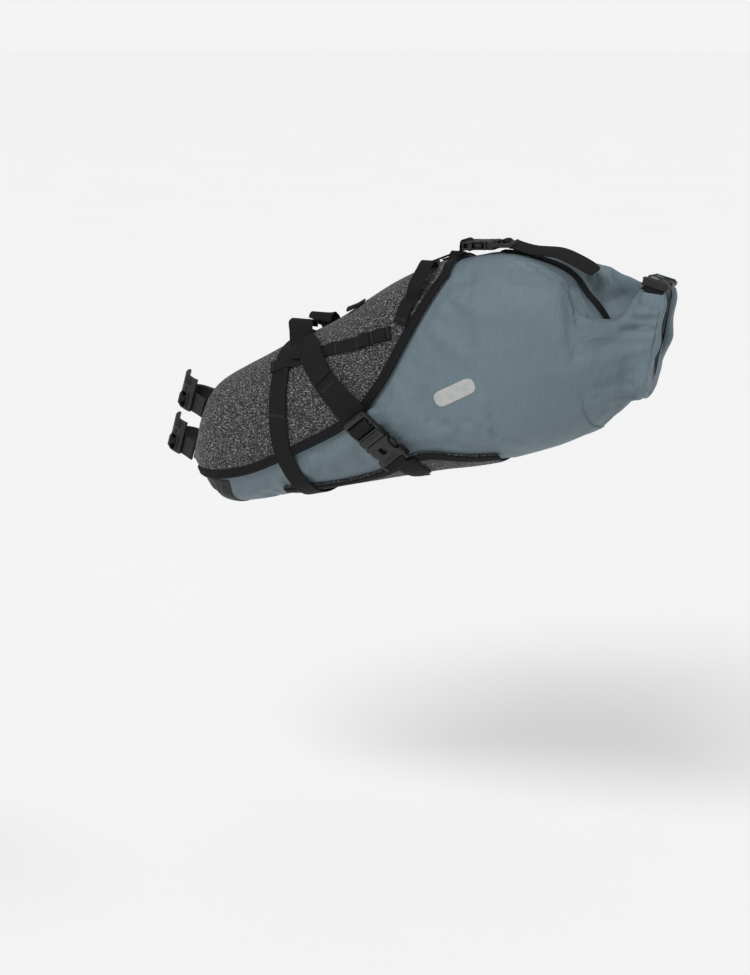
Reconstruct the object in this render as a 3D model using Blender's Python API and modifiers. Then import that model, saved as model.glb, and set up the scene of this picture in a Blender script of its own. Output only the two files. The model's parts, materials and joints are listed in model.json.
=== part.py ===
"""A saddle bag: a felt holster that straps under a saddle and carries a roll-top dry bag.

Metres, +Z up, +X rearward, +Y to the rider's right. The origin is on the seatpost's axis,
midway between the two post straps.
"""

from math import cos, pi, radians, sin

import bmesh
import bpy
import numpy as np
from mathutils import Matrix, Vector
from mathutils.bvhtree import BVHTree

# The seatpost that the bag hugs, and how far it leans back.
POST_RADIUS = 0.0136
POST_LEAN = radians(16.5)
POST_STRAP_SPACING = 0.048

# The stuffed bag, nose to tail. Each station is a flat slice between its top and bottom points.
# top x, top z, bottom x, bottom z, half width, depth of the middle valley, dip of the left ridge
STATIONS = (
    (0.031, 0.032, 0.011, -0.034, 0.024, 0.0, 0.0),
    (0.036, 0.041, 0.019, -0.052, 0.036, 0.0, 0.0),
    (0.048, 0.051, 0.036, -0.068, 0.045, 0.0, 0.0),
    (0.068, 0.063, 0.062, -0.0755, 0.051, 0.0, 0.0),
    (0.118, 0.090, 0.118, -0.061, 0.059, 0.0, 0.0),
    (0.168, 0.116, 0.176, -0.0455, 0.064, 0.0, 0.0),
    (0.214, 0.146, 0.231, -0.031, 0.068, 0.0, 0.0),
    (0.258, 0.171, 0.285, -0.017, 0.070, 0.0, 0.0),
    (0.305, 0.187, 0.342, -0.004, 0.071, 0.0, 0.0),
    (0.350, 0.192, 0.393, 0.014, 0.070, 0.0, 0.0),
    (0.396, 0.193, 0.429, 0.032, 0.063, 0.014, 0.006),
    (0.430, 0.190, 0.449, 0.046, 0.050, 0.050, 0.024),
    (0.454, 0.184, 0.459, 0.056, 0.036, 0.080, 0.022),
    (0.472, 0.177, 0.465, 0.062, 0.026, 0.092, 0.004),
)
SQUARENESS = 2.4  # superellipse exponent of every slice
VALLEY_SHARE = 0.62  # half width of the valley, as a share of the slice's
BAG_ROWS = 36
BAG_COLUMNS = 36

# Layers, as heights above the dry bag's skin.
PATCH_LIFT, PATCH_THICK = 0.0009, 0.0005
SHELL_LIFT, SHELL_THICK = 0.0010, 0.0020
BINDING_LIFT, BINDING_THICK = 0.0035, 0.0010
FIRST_LIFT, SECOND_LIFT, THIRD_LIFT = 0.0050, 0.0065, 0.0084
WEBBING_THICK = 0.0010
GAP = 0.0004

# Edges on the left side, as (x, z) points from the nose rearward.
HOLSTER_EDGE = ((0.024, -0.046), (0.060, -0.043), (0.098, -0.031), (0.154, -0.003), (0.200, 0.023),
                (0.228, 0.047))
HOLSTER_RIM = ((0.228, 0.047), (0.248, 0.074), (0.267, 0.109), (0.288, 0.150), (0.300, 0.173))
RIM_TOP_X = 0.298
BELLY_EDGE = ((0.122, -0.048), (0.179, -0.037), (0.218, -0.024), (0.245, -0.010), (0.265, 0.002),
              (0.285, 0.008), (0.320, 0.007), (0.350, 0.010))
PATCH_EDGE = ((0.027, -0.053), (0.040, -0.049), (0.062, -0.046))
BINDING_WIDTH = 0.009

# Webbing widths.
GIRTH_WIDTH = 0.020
RAIL_WIDTH = 0.025
DAISY_WIDTH = 0.012
LOOP_WIDTH = 0.014
LOAD_WIDTH = 0.012
TOP_WIDTH = 0.020

# Height of the saddle rails that the straps loop over.
RAIL_Z = 0.112

# The rolled mouth, a hairpin that stands on its bend and leans back.
ROLL_FOOT = Vector((0.4800, 0, 0.072))
ROLL_LEAN = Vector((0.008, 0, 0.105)).normalized()
ROLL_ARM = 0.0185  # from the middle to each arm
ROLL_BEND = 0.014  # depth of the hairpin's bend
ROLL_TALL = 0.095
ROLL_THICK = 0.012
ROLL_HALF_DEPTH = 0.012  # half of the roll's size along the bag

# The rubber post straps, which stand on edge round the post.
BAND_THICK = 0.0035
BAND_HALF_WIDTH = 0.010
BAND_CLEARANCE = 0.0008  # from the post to the rubber
PLATE_THICK = 0.0032
PLATE_TAB = 0.016  # how far the plate's pull tab rises above its band
PLATE_HINGE_SIDE = 0.0022  # sideways offset of the plate's hinge from the post's middle plane
HOOK_TURN = radians(-122)
HOOK_LEAN = radians(18)
PAD_THICK = 0.0050

# The direction in which the dry bag is drawn out of the holster.
DRAW_ANGLE = radians(15.5)

COLLECTION = "saddle_bag"
SIDES = (("left", -1), ("right", 1))


def material(name, colour, roughness, metallic=0.0):
    made = bpy.data.materials.new(name)
    made.use_nodes = True
    shader = made.node_tree.nodes["Principled BSDF"]
    shader.inputs["Base Color"].default_value = (*colour, 1.0)
    shader.inputs["Roughness"].default_value = roughness
    shader.inputs["Metallic"].default_value = metallic
    made.diffuse_color = (*colour, 1.0)
    return made


def clear_scene():
    for obj in list(bpy.data.objects):
        bpy.data.objects.remove(obj)


# ---------------------------------------------------------------- the bag's skin

def station_at(u):
    """The station values at u from 0, the nose, to 1, the tail, by a Catmull-Rom spline."""
    rows = np.array(STATIONS)
    place = min(max(u, 0.0), 1.0) * (len(rows) - 1)
    k = min(int(place), len(rows) - 2)
    f = place - k
    before, here, after = rows[max(k - 1, 0)], rows[k], rows[k + 1]
    beyond = rows[min(k + 2, len(rows) - 1)]
    slope_here = (after - before) / 2
    slope_after = (beyond - here) / 2
    return ((2 * f**3 - 3 * f**2 + 1) * here + (f**3 - 2 * f**2 + f) * slope_here
            + (3 * f**2 - 2 * f**3) * after + (f**3 - f**2) * slope_after)


def smooth(value):
    value = min(max(value, 0.0), 1.0)
    return value * value * (3 - 2 * value)


def skin(u, angle):
    """A point of the dry bag's skin. Angle 0 is the top, and positive angles go to the right."""
    top_x, top_z, bottom_x, bottom_z, half_width, valley, dip = station_at(u)
    across = half_width * np.sign(sin(angle)) * abs(sin(angle)) ** (2 / SQUARENESS)
    up = np.sign(cos(angle)) * abs(cos(angle)) ** (2 / SQUARENESS)
    centre = Vector(((top_x + bottom_x) / 2, 0, (top_z + bottom_z) / 2))
    rise = Vector(((top_x - bottom_x) / 2, 0, (top_z - bottom_z) / 2))
    if up > 0:
        reach = abs(across) / (VALLEY_SHARE * half_width)
        sink = valley * (1 - reach**2) ** 2 if reach < 1 else 0.0
        left = smooth(-across / (0.5 * half_width))
        up -= (sink + dip * left * up) / rise.length
    return centre + rise * up + Vector((0, across, 0))


def skin_tree(rows=260, columns=200):
    """A search tree over a fine copy of the skin, with its smooth normals."""
    points = [skin(i / rows, 2 * pi * j / columns) for i in range(rows + 1) for j in range(columns)]
    faces = [(i * columns + j, i * columns + (j + 1) % columns, (i + 1) * columns + (j + 1) % columns,
              (i + 1) * columns + j) for i in range(rows) for j in range(columns)]
    mesh = bpy.data.meshes.new("skin_guide")
    mesh.from_pydata(points, [], faces)
    normals = [vertex.normal.copy() for vertex in mesh.vertices]
    middle = Vector((0.3, 0, 0.09))
    nearest = min(range(len(points)), key=lambda k: (points[k] - Vector((0.3, -0.2, 0.09))).length)
    if normals[nearest].dot(points[nearest] - middle) < 0:
        normals = [-normal for normal in normals]
    tree = BVHTree.FromPolygons(points, faces)
    bpy.data.meshes.remove(mesh)
    return tree, points, faces, normals


def on_skin(near, lift):
    """The skin's point nearest to a place, raised by lift, and the outward normal there."""
    tree, points, faces, normals = SKIN
    spot, _, face, _ = tree.find_nearest(near)
    corners = faces[face]
    shares = [1 / ((points[k] - spot).length + 1e-6) for k in corners]
    normal = sum((normals[k] * share for k, share in zip(corners, shares)), Vector()).normalized()
    return spot + normal * lift, normal


SKIN = skin_tree()


def spline(points, spacing):
    """The points of a smooth curve through the given ones, about as far apart as spacing."""
    points = [Vector(p) for p in points]
    found = []
    for k in range(len(points) - 1):
        before, here, after = points[max(k - 1, 0)], points[k], points[k + 1]
        beyond = points[min(k + 2, len(points) - 1)]
        steps = max(1, round((after - here).length / spacing))
        for step in range(steps):
            f = step / steps
            found.append((2 * f**3 - 3 * f**2 + 1) * here + (f**3 - 2 * f**2 + f) * (after - before) / 2
                         + (3 * f**2 - 2 * f**3) * after + (f**3 - f**2) * (beyond - here) / 2)
    return found + [points[-1]]


def left_side(x, z):
    """The skin's point on the left side at this x and z."""
    tree = SKIN[0]
    spot = tree.ray_cast(Vector((x, -0.3, z)), Vector((0, 1, 0)))[0]
    return spot if spot else on_skin(Vector((x, -0.03, z)), 0)[0]


def top_side(x, y):
    return SKIN[0].ray_cast(Vector((x, y, 0.5)), Vector((0, 0, -1)))[0]


def mirrored(points):
    return [Vector((p.x, -p.y, p.z)) for p in points]


# ---------------------------------------------------------------- building blocks

def add_object(name, mesh, paint, helper=False):
    obj = bpy.data.objects.new(name, mesh)
    bpy.data.collections["cutters" if helper else COLLECTION].objects.link(obj)
    if helper:
        obj.hide_render = True
        obj.display_type = "WIRE"
    else:
        mesh.materials.append(paint)
    return obj


def thicken(obj, thickness, offset=1.0):
    solidify = obj.modifiers.new("thickness", "SOLIDIFY")
    solidify.thickness = thickness
    solidify.offset = offset


def grid_mesh(name, grid):
    """An open mesh over rows of points."""
    rows, columns = len(grid), len(grid[0])
    mesh = bpy.data.meshes.new(name)
    mesh.from_pydata([p for row in grid for p in row], [],
                     [(i * columns + j, i * columns + j + 1, (i + 1) * columns + j + 1, (i + 1) * columns + j)
                      for i in range(rows - 1) for j in range(columns - 1)])
    mesh.shade_smooth()
    return mesh


def sheet(name, grid, thickness, paint):
    """An open sheet over rows of points, thickened away from the bag."""
    mesh = grid_mesh(name, grid)
    middle = mesh.polygons[len(mesh.polygons) // 2]
    outward = on_skin(Vector(middle.center), 0)[1]
    if middle.normal.dot(outward) < 0:
        mesh.flip_normals()
    obj = add_object(name, mesh, paint)
    thicken(obj, thickness)
    return obj


def strap(name, route, width, paint, thickness=WEBBING_THICK, spacing=0.007, shift=0.0, columns=2,
          round_end=False, free_across=(1, 0, 0)):
    """Webbing along a route of (place, lift) pairs. A lift of None leaves the route free of the skin."""
    places = spline([place for place, _ in route], spacing)
    given = [(Vector(place), lift) for place, lift in route]
    grid = []
    for k, place in enumerate(places):
        ahead = places[min(k + 1, len(places) - 1)] - places[max(k - 1, 0)]
        nearest = sorted(given, key=lambda pair: (pair[0] - place).length)[:2]
        near, far = nearest
        share = (place - near[0]).length / ((place - near[0]).length + (place - far[0]).length + 1e-9)
        bound = (near[1] is not None) * (1 - share) + (far[1] is not None) * share
        lift = (near[1] if near[1] is not None else far[1] or 0) * (1 - share) \
            + (far[1] if far[1] is not None else near[1] or 0) * share
        normal = on_skin(place, 0)[1]
        across = ahead.cross(normal).normalized()
        level = Vector(free_across) - ahead.normalized() * ahead.normalized().dot(Vector(free_across))
        level.normalize()
        if level.dot(across) < 0:
            level = -level
        across = level.lerp(across, bound).normalized()
        wide = width
        if round_end:
            left = (places[-1] - place).length
            wide = width * min(1.0, (1 - (1 - min(left / (0.5 * width), 1)) ** 2) ** 0.5 + 0.35)
        row = []
        for column in range(columns + 1):
            spot = place + across * (shift + wide * (column / columns - 0.5))
            if bound > 0.99:
                spot = on_skin(spot, lift)[0]
            elif bound > 0:
                spot = spot.lerp(on_skin(spot, lift)[0], smooth(2 * bound - 1))
            row.append(spot)
        grid.append(row)
    return sheet(name, grid, thickness, paint)


def box(name, size, centre, frame, paint=None, helper=False, bevel=0.0):
    mesh = bpy.data.meshes.new(name)
    shape = bmesh.new()
    bmesh.ops.create_cube(shape, size=1.0)
    bmesh.ops.scale(shape, vec=size, verts=shape.verts)
    bmesh.ops.translate(shape, vec=centre, verts=shape.verts)
    if bevel:
        bmesh.ops.bevel(shape, geom=shape.edges[:], offset=bevel, segments=2, profile=0.5, affect="EDGES")
    shape.to_mesh(mesh)
    shape.free()
    obj = add_object(name, mesh, paint, helper)
    obj.matrix_world = frame
    return obj


def rod(name, radius, length, centre, axis, frame, paint=None, helper=False, segments=16):
    """A cylinder along one axis of the frame."""
    turn = {"x": Matrix.Rotation(pi / 2, 4, "Y"), "y": Matrix.Rotation(pi / 2, 4, "X"),
            "z": Matrix.Identity(4)}[axis]
    mesh = bpy.data.meshes.new(name)
    shape = bmesh.new()
    bmesh.ops.create_cone(shape, cap_ends=True, segments=segments, radius1=radius, radius2=radius,
                          depth=length, matrix=Matrix.Translation(centre) @ turn)
    shape.to_mesh(mesh)
    shape.free()
    obj = add_object(name, mesh, paint, helper)
    obj.matrix_world = frame
    return obj


def combine(obj, operation, *others):
    for other in others:
        modifier = obj.modifiers.new(operation.lower(), "BOOLEAN")
        modifier.operation = operation
        modifier.object = other


def frame_at(origin, ahead, up):
    """A frame with its x along ahead and its z close to up."""
    x = Vector(ahead).normalized()
    y = Vector(up).cross(x).normalized()
    z = x.cross(y)
    return Matrix.Translation(origin) @ Matrix((x, y, z)).transposed().to_4x4()


# ---------------------------------------------------------------- sub-parts

def dry_bag(fabric):
    """The stuffed bag: a loft through the stations, closed at the nose and at the rolled mouth."""
    mesh = bpy.data.meshes.new("dry_bag")
    rings = [[skin(i / BAG_ROWS, 2 * pi * j / BAG_COLUMNS) for j in range(BAG_COLUMNS)]
             for i in range(BAG_ROWS + 1)]
    points = [p for ring in rings for p in ring]
    count = BAG_COLUMNS
    faces = [(i * count + j, (i + 1) * count + j, (i + 1) * count + (j + 1) % count,
              i * count + (j + 1) % count) for i in range(BAG_ROWS) for j in range(count)]
    faces.append(tuple(range(count)))
    faces.append(tuple(BAG_ROWS * count + j for j in reversed(range(count))))
    mesh.from_pydata(points, [], faces)
    shape = bmesh.new()
    shape.from_mesh(mesh)
    bmesh.ops.recalc_face_normals(shape, faces=shape.faces)
    shape.to_mesh(mesh)
    shape.free()
    mesh.shade_smooth()
    return add_object("dry_bag", mesh, fabric)


def panel(name, rows, lift, thickness, paint):
    """A panel over rows of rough places, each laid on the skin."""
    return sheet(name, [[on_skin(p, lift)[0] for p in row] for row in rows], thickness, paint)


def edge_points(edge, count, crowding=1.0):
    """So many left-side points along an (x, z) edge, closer together at its start if crowded."""
    fine = spline([left_side(x, z) for x, z in edge], 0.002)
    lengths = np.concatenate([[0], np.cumsum([(b - a).length for a, b in zip(fine, fine[1:])])])
    marks = np.linspace(0, 1, count) ** crowding * lengths[-1]
    return [Vector([np.interp(m, lengths, [p[axis] for p in fine]) for axis in range(3)]) for m in marks]


def holster_shell(felt):
    """The felt cover over the top and sides, open behind the rim and below its edge."""
    rows, columns = 20, 28
    crowding = 1.5
    edge = edge_points(HOLSTER_EDGE, rows + 1, crowding)
    rim = edge_points(HOLSTER_RIM, columns // 2)
    crown = top_side(RIM_TOP_X, 0)
    rim = rim[:-1] + edge_points_over(rim[-1], crown, 5)
    grid = []
    for i in range(rows + 1):
        share = (i / rows) ** crowding
        top = top_side(0.036 + (RIM_TOP_X - 0.036) * share, 0)
        straight = half_arch(edge[i], top, columns // 2)
        bow = [r - s for r, s in zip(resampled(rim, columns // 2), half_arch(edge[-1], crown, columns // 2))]
        left = [p + b * share**3 for p, b in zip(straight, bow)]
        left[-1] = Vector((left[-1].x, 0, left[-1].z))
        grid.append(left + [Vector((p.x, -p.y, p.z)) for p in reversed(left[:-1])])
    return panel("holster_shell", grid, SHELL_LIFT, SHELL_THICK, felt)


def edge_points_over(start, crown, steps):
    return [on_skin(start.lerp(crown, k / steps), 0)[0] for k in range(steps + 1)]


def resampled(points, count):
    """count + 1 points evenly spaced along a polyline."""
    lengths = np.concatenate([[0], np.cumsum([(b - a).length for a, b in zip(points, points[1:])])])
    marks = np.linspace(0, lengths[-1], count + 1)
    return [Vector([np.interp(m, lengths, [p[axis] for p in points]) for axis in range(3)]) for m in marks]


def half_arch(left, crown, count):
    """count + 1 skin points, evenly spaced, from a side point to the crown of the bag."""
    fine = []
    steps = 40
    for k in range(steps + 1):
        bend = pi / 2 * k / steps
        x = left.x + (crown.x - left.x) * k / steps
        y = left.y * cos(bend) * (1 + 0.25 * sin(2 * bend))
        z = left.z + (crown.z - left.z) * sin(bend)
        fine.append(on_skin(Vector((x, y, z)), 0)[0])
    return resampled(fine, count)


def belly_panel(felt):
    rows, columns = 14, 20
    edge = edge_points(BELLY_EDGE, rows + 1)
    grid = []
    for i in range(rows + 1):
        share = i / rows
        below = Vector((0.124 + 0.222 * share, 0, -0.5))
        low = SKIN[0].ray_cast(below, Vector((0, 0, 1)))[0]
        left = half_arch(edge[i], low, columns // 2)
        left[-1] = Vector((left[-1].x, 0, left[-1].z))
        grid.append(left + [Vector((p.x, -p.y, p.z)) for p in reversed(left[:-1])])
    return panel("belly_panel", grid, SHELL_LIFT, SHELL_THICK, felt)


def nose_patch(coated):
    """The abrasion patch under the dry bag's nose."""
    rows, columns = 6, 18
    edge = edge_points(PATCH_EDGE, rows + 1)
    grid = []
    for i in range(rows + 1):
        low = skin(0.11 + 0.13 * i / rows, pi)
        left = half_arch(edge[i], low, columns // 2)
        left[-1] = Vector((left[-1].x, 0, left[-1].z))
        grid.append(left + [Vector((p.x, -p.y, p.z)) for p in reversed(left[:-1])])
    return panel("nose_patch", grid, PATCH_LIFT, PATCH_THICK, coated)


def bindings(tape):
    rim = edge_points(HOLSTER_RIM, 14)
    crown = top_side(RIM_TOP_X, 0)
    left = edge_points(HOLSTER_EDGE, 30)[:-1] + rim + edge_points_over(rim[-1], crown, 6)[1:-1]
    route = left + [crown] + [Vector((p.x, -p.y, p.z)) for p in reversed(left)]
    strap("holster_binding", [(p, BINDING_LIFT) for p in route], BINDING_WIDTH, tape,
          BINDING_THICK, shift=-BINDING_WIDTH / 2 + 0.0008, columns=1, spacing=0.010)
    for side, sign in SIDES:
        route = edge_points(BELLY_EDGE, 26)
        if sign > 0:
            route = mirrored(route)
        strap(f"belly_binding_{side}", [(p, BINDING_LIFT) for p in route], BINDING_WIDTH, tape,
              BINDING_THICK, shift=-sign * (BINDING_WIDTH / 2 - 0.0008), columns=1, spacing=0.012)


def girth_webbing(webbing):
    """The webbing that goes down one side of the holster, under the bag and up the other."""
    left = [left_side(x, z) for x, z in ((0.131, 0.092), (0.130, 0.065), (0.131, 0.025), (0.133, 0.0),
                                         (0.139, -0.022), (0.145, -0.040))]
    low = [Vector((0.150, -0.030, -0.060)), Vector((0.151, 0, -0.062))]
    half = left + low
    route = half + [Vector((p.x, -p.y, p.z)) for p in reversed(half[:-1])]
    strap("girth_webbing", [(p, FIRST_LIFT) for p in route], GIRTH_WIDTH, webbing)


def rail_strap(side, sign, webbing):
    """Sewn to the top, up and over the rail, then down the flank to the side buckle."""
    flank = [left_side(x, z) for x, z in ((0.160, 0.093), (0.182, 0.071), (0.208, 0.045), (0.226, 0.030))]
    free = [Vector((0.136, -0.0150, RAIL_Z - 0.0040)), Vector((0.137, -0.0150, RAIL_Z + 0.0005)),
            Vector((0.137, -0.0185, RAIL_Z + 0.0055)), Vector((0.137, -0.0255, RAIL_Z + 0.0055)),
            Vector((0.139, -0.0305, RAIL_Z + 0.0015))]
    shoulder = [top_side(0.146, -0.040), flank[0]]
    route = [(p, None) for p in free] + [(p, THIRD_LIFT) for p in shoulder]
    route += [(p, SECOND_LIFT) for p in flank[1:]]
    if sign > 0:
        route = [(Vector((p.x, -p.y, p.z)), lift) for p, lift in route]
    strap(f"rail_strap_{side}", route, RAIL_WIDTH, webbing, spacing=0.006)


def daisy_webbing(side, sign, webbing):
    lifts = (SECOND_LIFT, SECOND_LIFT, FIRST_LIFT, FIRST_LIFT, FIRST_LIFT, FIRST_LIFT)
    ends = ((0.118, 0.070), (0.140, 0.079), (0.150, 0.083), (0.180, 0.095), (0.211, 0.105), (0.247, 0.118))
    route = [(left_side(x, z), lift) for (x, z), lift in zip(ends, lifts)]
    if sign > 0:
        route = [(Vector((p.x, -p.y, p.z)), lift) for p, lift in route]
    strap(f"daisy_webbing_{side}", route, DAISY_WIDTH, webbing)


def rim_loop(side, sign, webbing):
    """A lashing loop that stands up at the holster's shoulder."""
    low = [left_side(0.262, 0.128), left_side(0.266, 0.145)]
    free = [Vector((0.272, -0.0575, 0.165)), Vector((0.276, -0.049, 0.179)), Vector((0.276, -0.036, 0.185))]
    high = [top_side(0.276, -0.025), top_side(0.276, -0.017)]
    route = [(p, SECOND_LIFT) for p in low] + [(p, None) for p in free] + [(p, FIRST_LIFT) for p in high]
    if sign > 0:
        route = [(Vector((p.x, -p.y, p.z)), lift) for p, lift in route]
    strap(f"rim_loop_{side}", route, LOOP_WIDTH, webbing, spacing=0.004)


def belly_tab(side, sign, webbing):
    """The short tab that ties the side buckle's socket to the belly panel."""
    route = [(left_side(x, z), lift) for (x, z), lift in zip(
        ((0.276, -0.030), (0.268, -0.016), (0.259, -0.001)), (FIRST_LIFT, FIRST_LIFT, FIRST_LIFT))]
    if sign > 0:
        route = [(Vector((p.x, -p.y, p.z)), lift) for p, lift in route]
    strap(f"belly_tab_{side}", route, RAIL_WIDTH, webbing)


def buckle(socket_name, plug_name, frame, width, length, height, plastic):
    """A side-release buckle. The plug's strap end is at -x, and the socket's at +x."""
    half = length / 2
    wall = 0.0016
    mouth = 0.0002
    socket = box(socket_name, (half, width, height), (half / 2 + mouth, 0, 0), frame, plastic, bevel=0.0016)
    inner = half * 0.74
    hollow = box(socket_name + "_hollow", (inner + 0.002, width - 2 * wall, height - 2 * wall),
                 (inner / 2 - 0.001, 0, 0), frame, helper=True)
    window = box(socket_name + "_windows", (half * 0.34, width * 1.2, height * 0.52),
                 (half * 0.45, 0, 0), frame, helper=True)
    slot = box(socket_name + "_slot", (0.0032, width * 0.80, height * 2), (half * 0.87, 0, 0), frame,
               helper=True)
    combine(socket, "DIFFERENCE", hollow, window, slot)

    plug = box(plug_name, (half, width, height), (-half / 2 - mouth, 0, 0), frame, plastic, bevel=0.0016)
    for k in range(2):
        slot = box(f"{plug_name}_slot_{k}", (0.0040, width * 0.80, height * 2),
                   (-half * (0.42 + 0.36 * k), 0, 0), frame, helper=True)
        combine(plug, "DIFFERENCE", slot)
    for side, sign in SIDES:
        prong = box(f"{plug_name}_prong_{side}", (inner * 0.92, 0.0042, height - 2 * wall - 2 * GAP),
                    (inner * 0.46 - 0.0018, sign * (width / 2 - wall - 0.0025), 0), frame, helper=True,
                    bevel=0.0008)
        combine(plug, "UNION", prong)
    guide = box(plug_name + "_guide", (inner * 0.60, 0.0050, height - 2 * wall - 2 * GAP),
                (inner * 0.30 - 0.0018, 0, 0), frame, helper=True, bevel=0.0008)
    combine(plug, "UNION", guide)
    return socket, plug


def side_buckles(plastic, webbing):
    for side, sign in SIDES:
        origin = left_side(0.240, 0.0225)
        normal = on_skin(origin, 0)[1]
        ahead = left_side(0.262, -0.003) - left_side(0.230, 0.033)
        origin = origin + normal * (THIRD_LIFT + 0.0052)
        if sign > 0:
            origin, normal, ahead = (Vector((v.x, -v.y, v.z)) for v in (origin, normal, ahead))
        frame = frame_at(origin, ahead, normal)
        buckle(f"side_buckle_socket_{side}", f"side_buckle_plug_{side}", frame, 0.031, 0.062, 0.009, plastic)
        along = frame.to_3x3() @ Vector((1, 0, 0))
        start = origin - along * 0.0335
        tail = [left_side(x, z) for x, z in ((0.2065, 0.0540), (0.1970, 0.0610), (0.1870, 0.0690))]
        if sign > 0:
            tail = mirrored(tail)
        route = [(start, THIRD_LIFT + 0.0010)] + [(p, THIRD_LIFT) for p in tail]
        strap(f"side_strap_tail_{side}", route, RAIL_WIDTH - 0.002, webbing)


def top_buckle(plastic, webbing):
    """The buckle on the crown, whose plug belongs to the load strap of the dry bag."""
    seat = top_side(0.324, 0)
    ahead = Vector((-1, 0, -0.06))
    frame = frame_at(seat + Vector((0, 0, 0.0086)), ahead, (0, 0, 1))
    buckle("top_buckle_socket", "top_buckle_plug", frame, 0.026, 0.050, 0.008, plastic)
    front = [(top_side(0.262, 0), FIRST_LIFT), (top_side(0.276, 0), FIRST_LIFT + 0.0006),
             (top_side(0.290, 0), SECOND_LIFT), (top_side(0.2975, 0), SECOND_LIFT)]
    strap("top_strap", front, TOP_WIDTH, webbing)
    start = seat + Vector((0.0262, 0, 0.0089))
    tail = [start, Vector((0.380, 0.002, start.z - 0.002)), Vector((0.408, 0.004, 0.192)),
            Vector((0.431, 0.006, 0.183))]
    strap("load_strap_tail", [(p, None) for p in tail], TOP_WIDTH, webbing, round_end=True,
          free_across=(0, 1, 0))


def load_strap(webbing):
    """The strap on the dry bag that runs back into the valley and down to the rolled mouth."""
    places = [top_side(x, 0) for x in (0.338, 0.365, 0.392, 0.412, 0.430, 0.446, 0.458)]
    strap("load_strap", [(p, 0.0030) for p in places], LOAD_WIDTH, webbing, spacing=0.008)


def rolled_closure(fabric, webbing, plastic):
    """The rolled mouth, folded upward into a hairpin whose tips a small clip holds together."""
    arm, bend_steps = 5, 8
    heights = [ROLL_BEND + (ROLL_TALL - ROLL_BEND) * k / arm for k in range(arm + 1)]
    path = [ROLL_FOOT + Vector((0, -ROLL_ARM, 0)) + ROLL_LEAN * high for high in reversed(heights)]
    for k in range(1, bend_steps):
        turn = pi * k / bend_steps
        low = ROLL_LEAN * ROLL_BEND * (1 - sin(turn))
        path.append(ROLL_FOOT + Vector((0, -ROLL_ARM * cos(turn), 0)) + low)
    path += [ROLL_FOOT + Vector((0, ROLL_ARM, 0)) + ROLL_LEAN * high for high in heights]
    outward = ROLL_LEAN.cross(Vector((0, 1, 0))).normalized()
    grid = [[p + outward * ROLL_HALF_DEPTH * share for share in (-1, -1 / 3, 1 / 3, 1)] for p in path]
    roll = add_object("rolled_closure", grid_mesh("rolled_closure", grid), fabric)
    thicken(roll, ROLL_THICK, 0.0)
    bevel = roll.modifiers.new("edges", "BEVEL")
    bevel.width = 0.003
    bevel.segments = 2
    bevel.limit_method = "ANGLE"

    top = ROLL_FOOT + ROLL_LEAN * ROLL_TALL
    clip_up = Matrix.Rotation(radians(14), 4, "Y") @ Vector((0, 0, 1))
    clip_frame = frame_at(top + ROLL_LEAN * 0.0075, Vector((0, -1, 0)), clip_up)
    buckle("closure_socket", "closure_plug", clip_frame, 0.027, 0.036, 0.0075, plastic)
    for side, sign in SIDES:
        stub_at = top + Vector((0, sign * (ROLL_ARM + 0.0012), 0)) + ROLL_LEAN * 0.0010
        stub_frame = frame_at(stub_at, Vector((1, 0, -0.1)), ROLL_LEAN)
        box(f"closure_stub_{side}", (0.020, 0.008, 0.0014), (0, 0, 0), stub_frame, webbing)


def post_frame(height):
    """At the post's axis: x rearward, y right, z up along the post."""
    along = Vector((sin(POST_LEAN), 0, cos(POST_LEAN)))
    return frame_at(along * height, Vector((cos(POST_LEAN), 0, -sin(POST_LEAN))), along)


def seatpost_pad(rubber):
    frame = post_frame(0)
    centre = (POST_RADIUS + BAND_CLEARANCE + PAD_THICK / 2, 0, -0.001)
    return box("seatpost_pad", (PAD_THICK, 0.036, 0.066), centre, frame, rubber, bevel=0.0012)


def bent_strip(name, path, low, high, frame, thickness, paint):
    """A strip standing on edge along a path in the frame's x-y plane, from low to high."""
    count = 3
    grid = [[Vector((p[0], p[1], low + (high - low) * k / count)) for k in range(count + 1)] for p in path]
    mesh = grid_mesh(name, grid)
    middle = mesh.polygons[len(mesh.polygons) // 2]
    if middle.normal.dot(Vector((middle.center.x, middle.center.y, 0))) < 0:
        mesh.flip_normals()
    obj = add_object(name, mesh, paint)
    obj.matrix_world = frame
    thicken(obj, thickness)
    return obj


def arc(radius, start, end, count):
    return [(radius * cos(radians(a)), radius * sin(radians(a))) for a in np.linspace(start, end, count)]


def flat_turn(angle):
    return Vector((cos(angle), sin(angle), 0))


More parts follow.
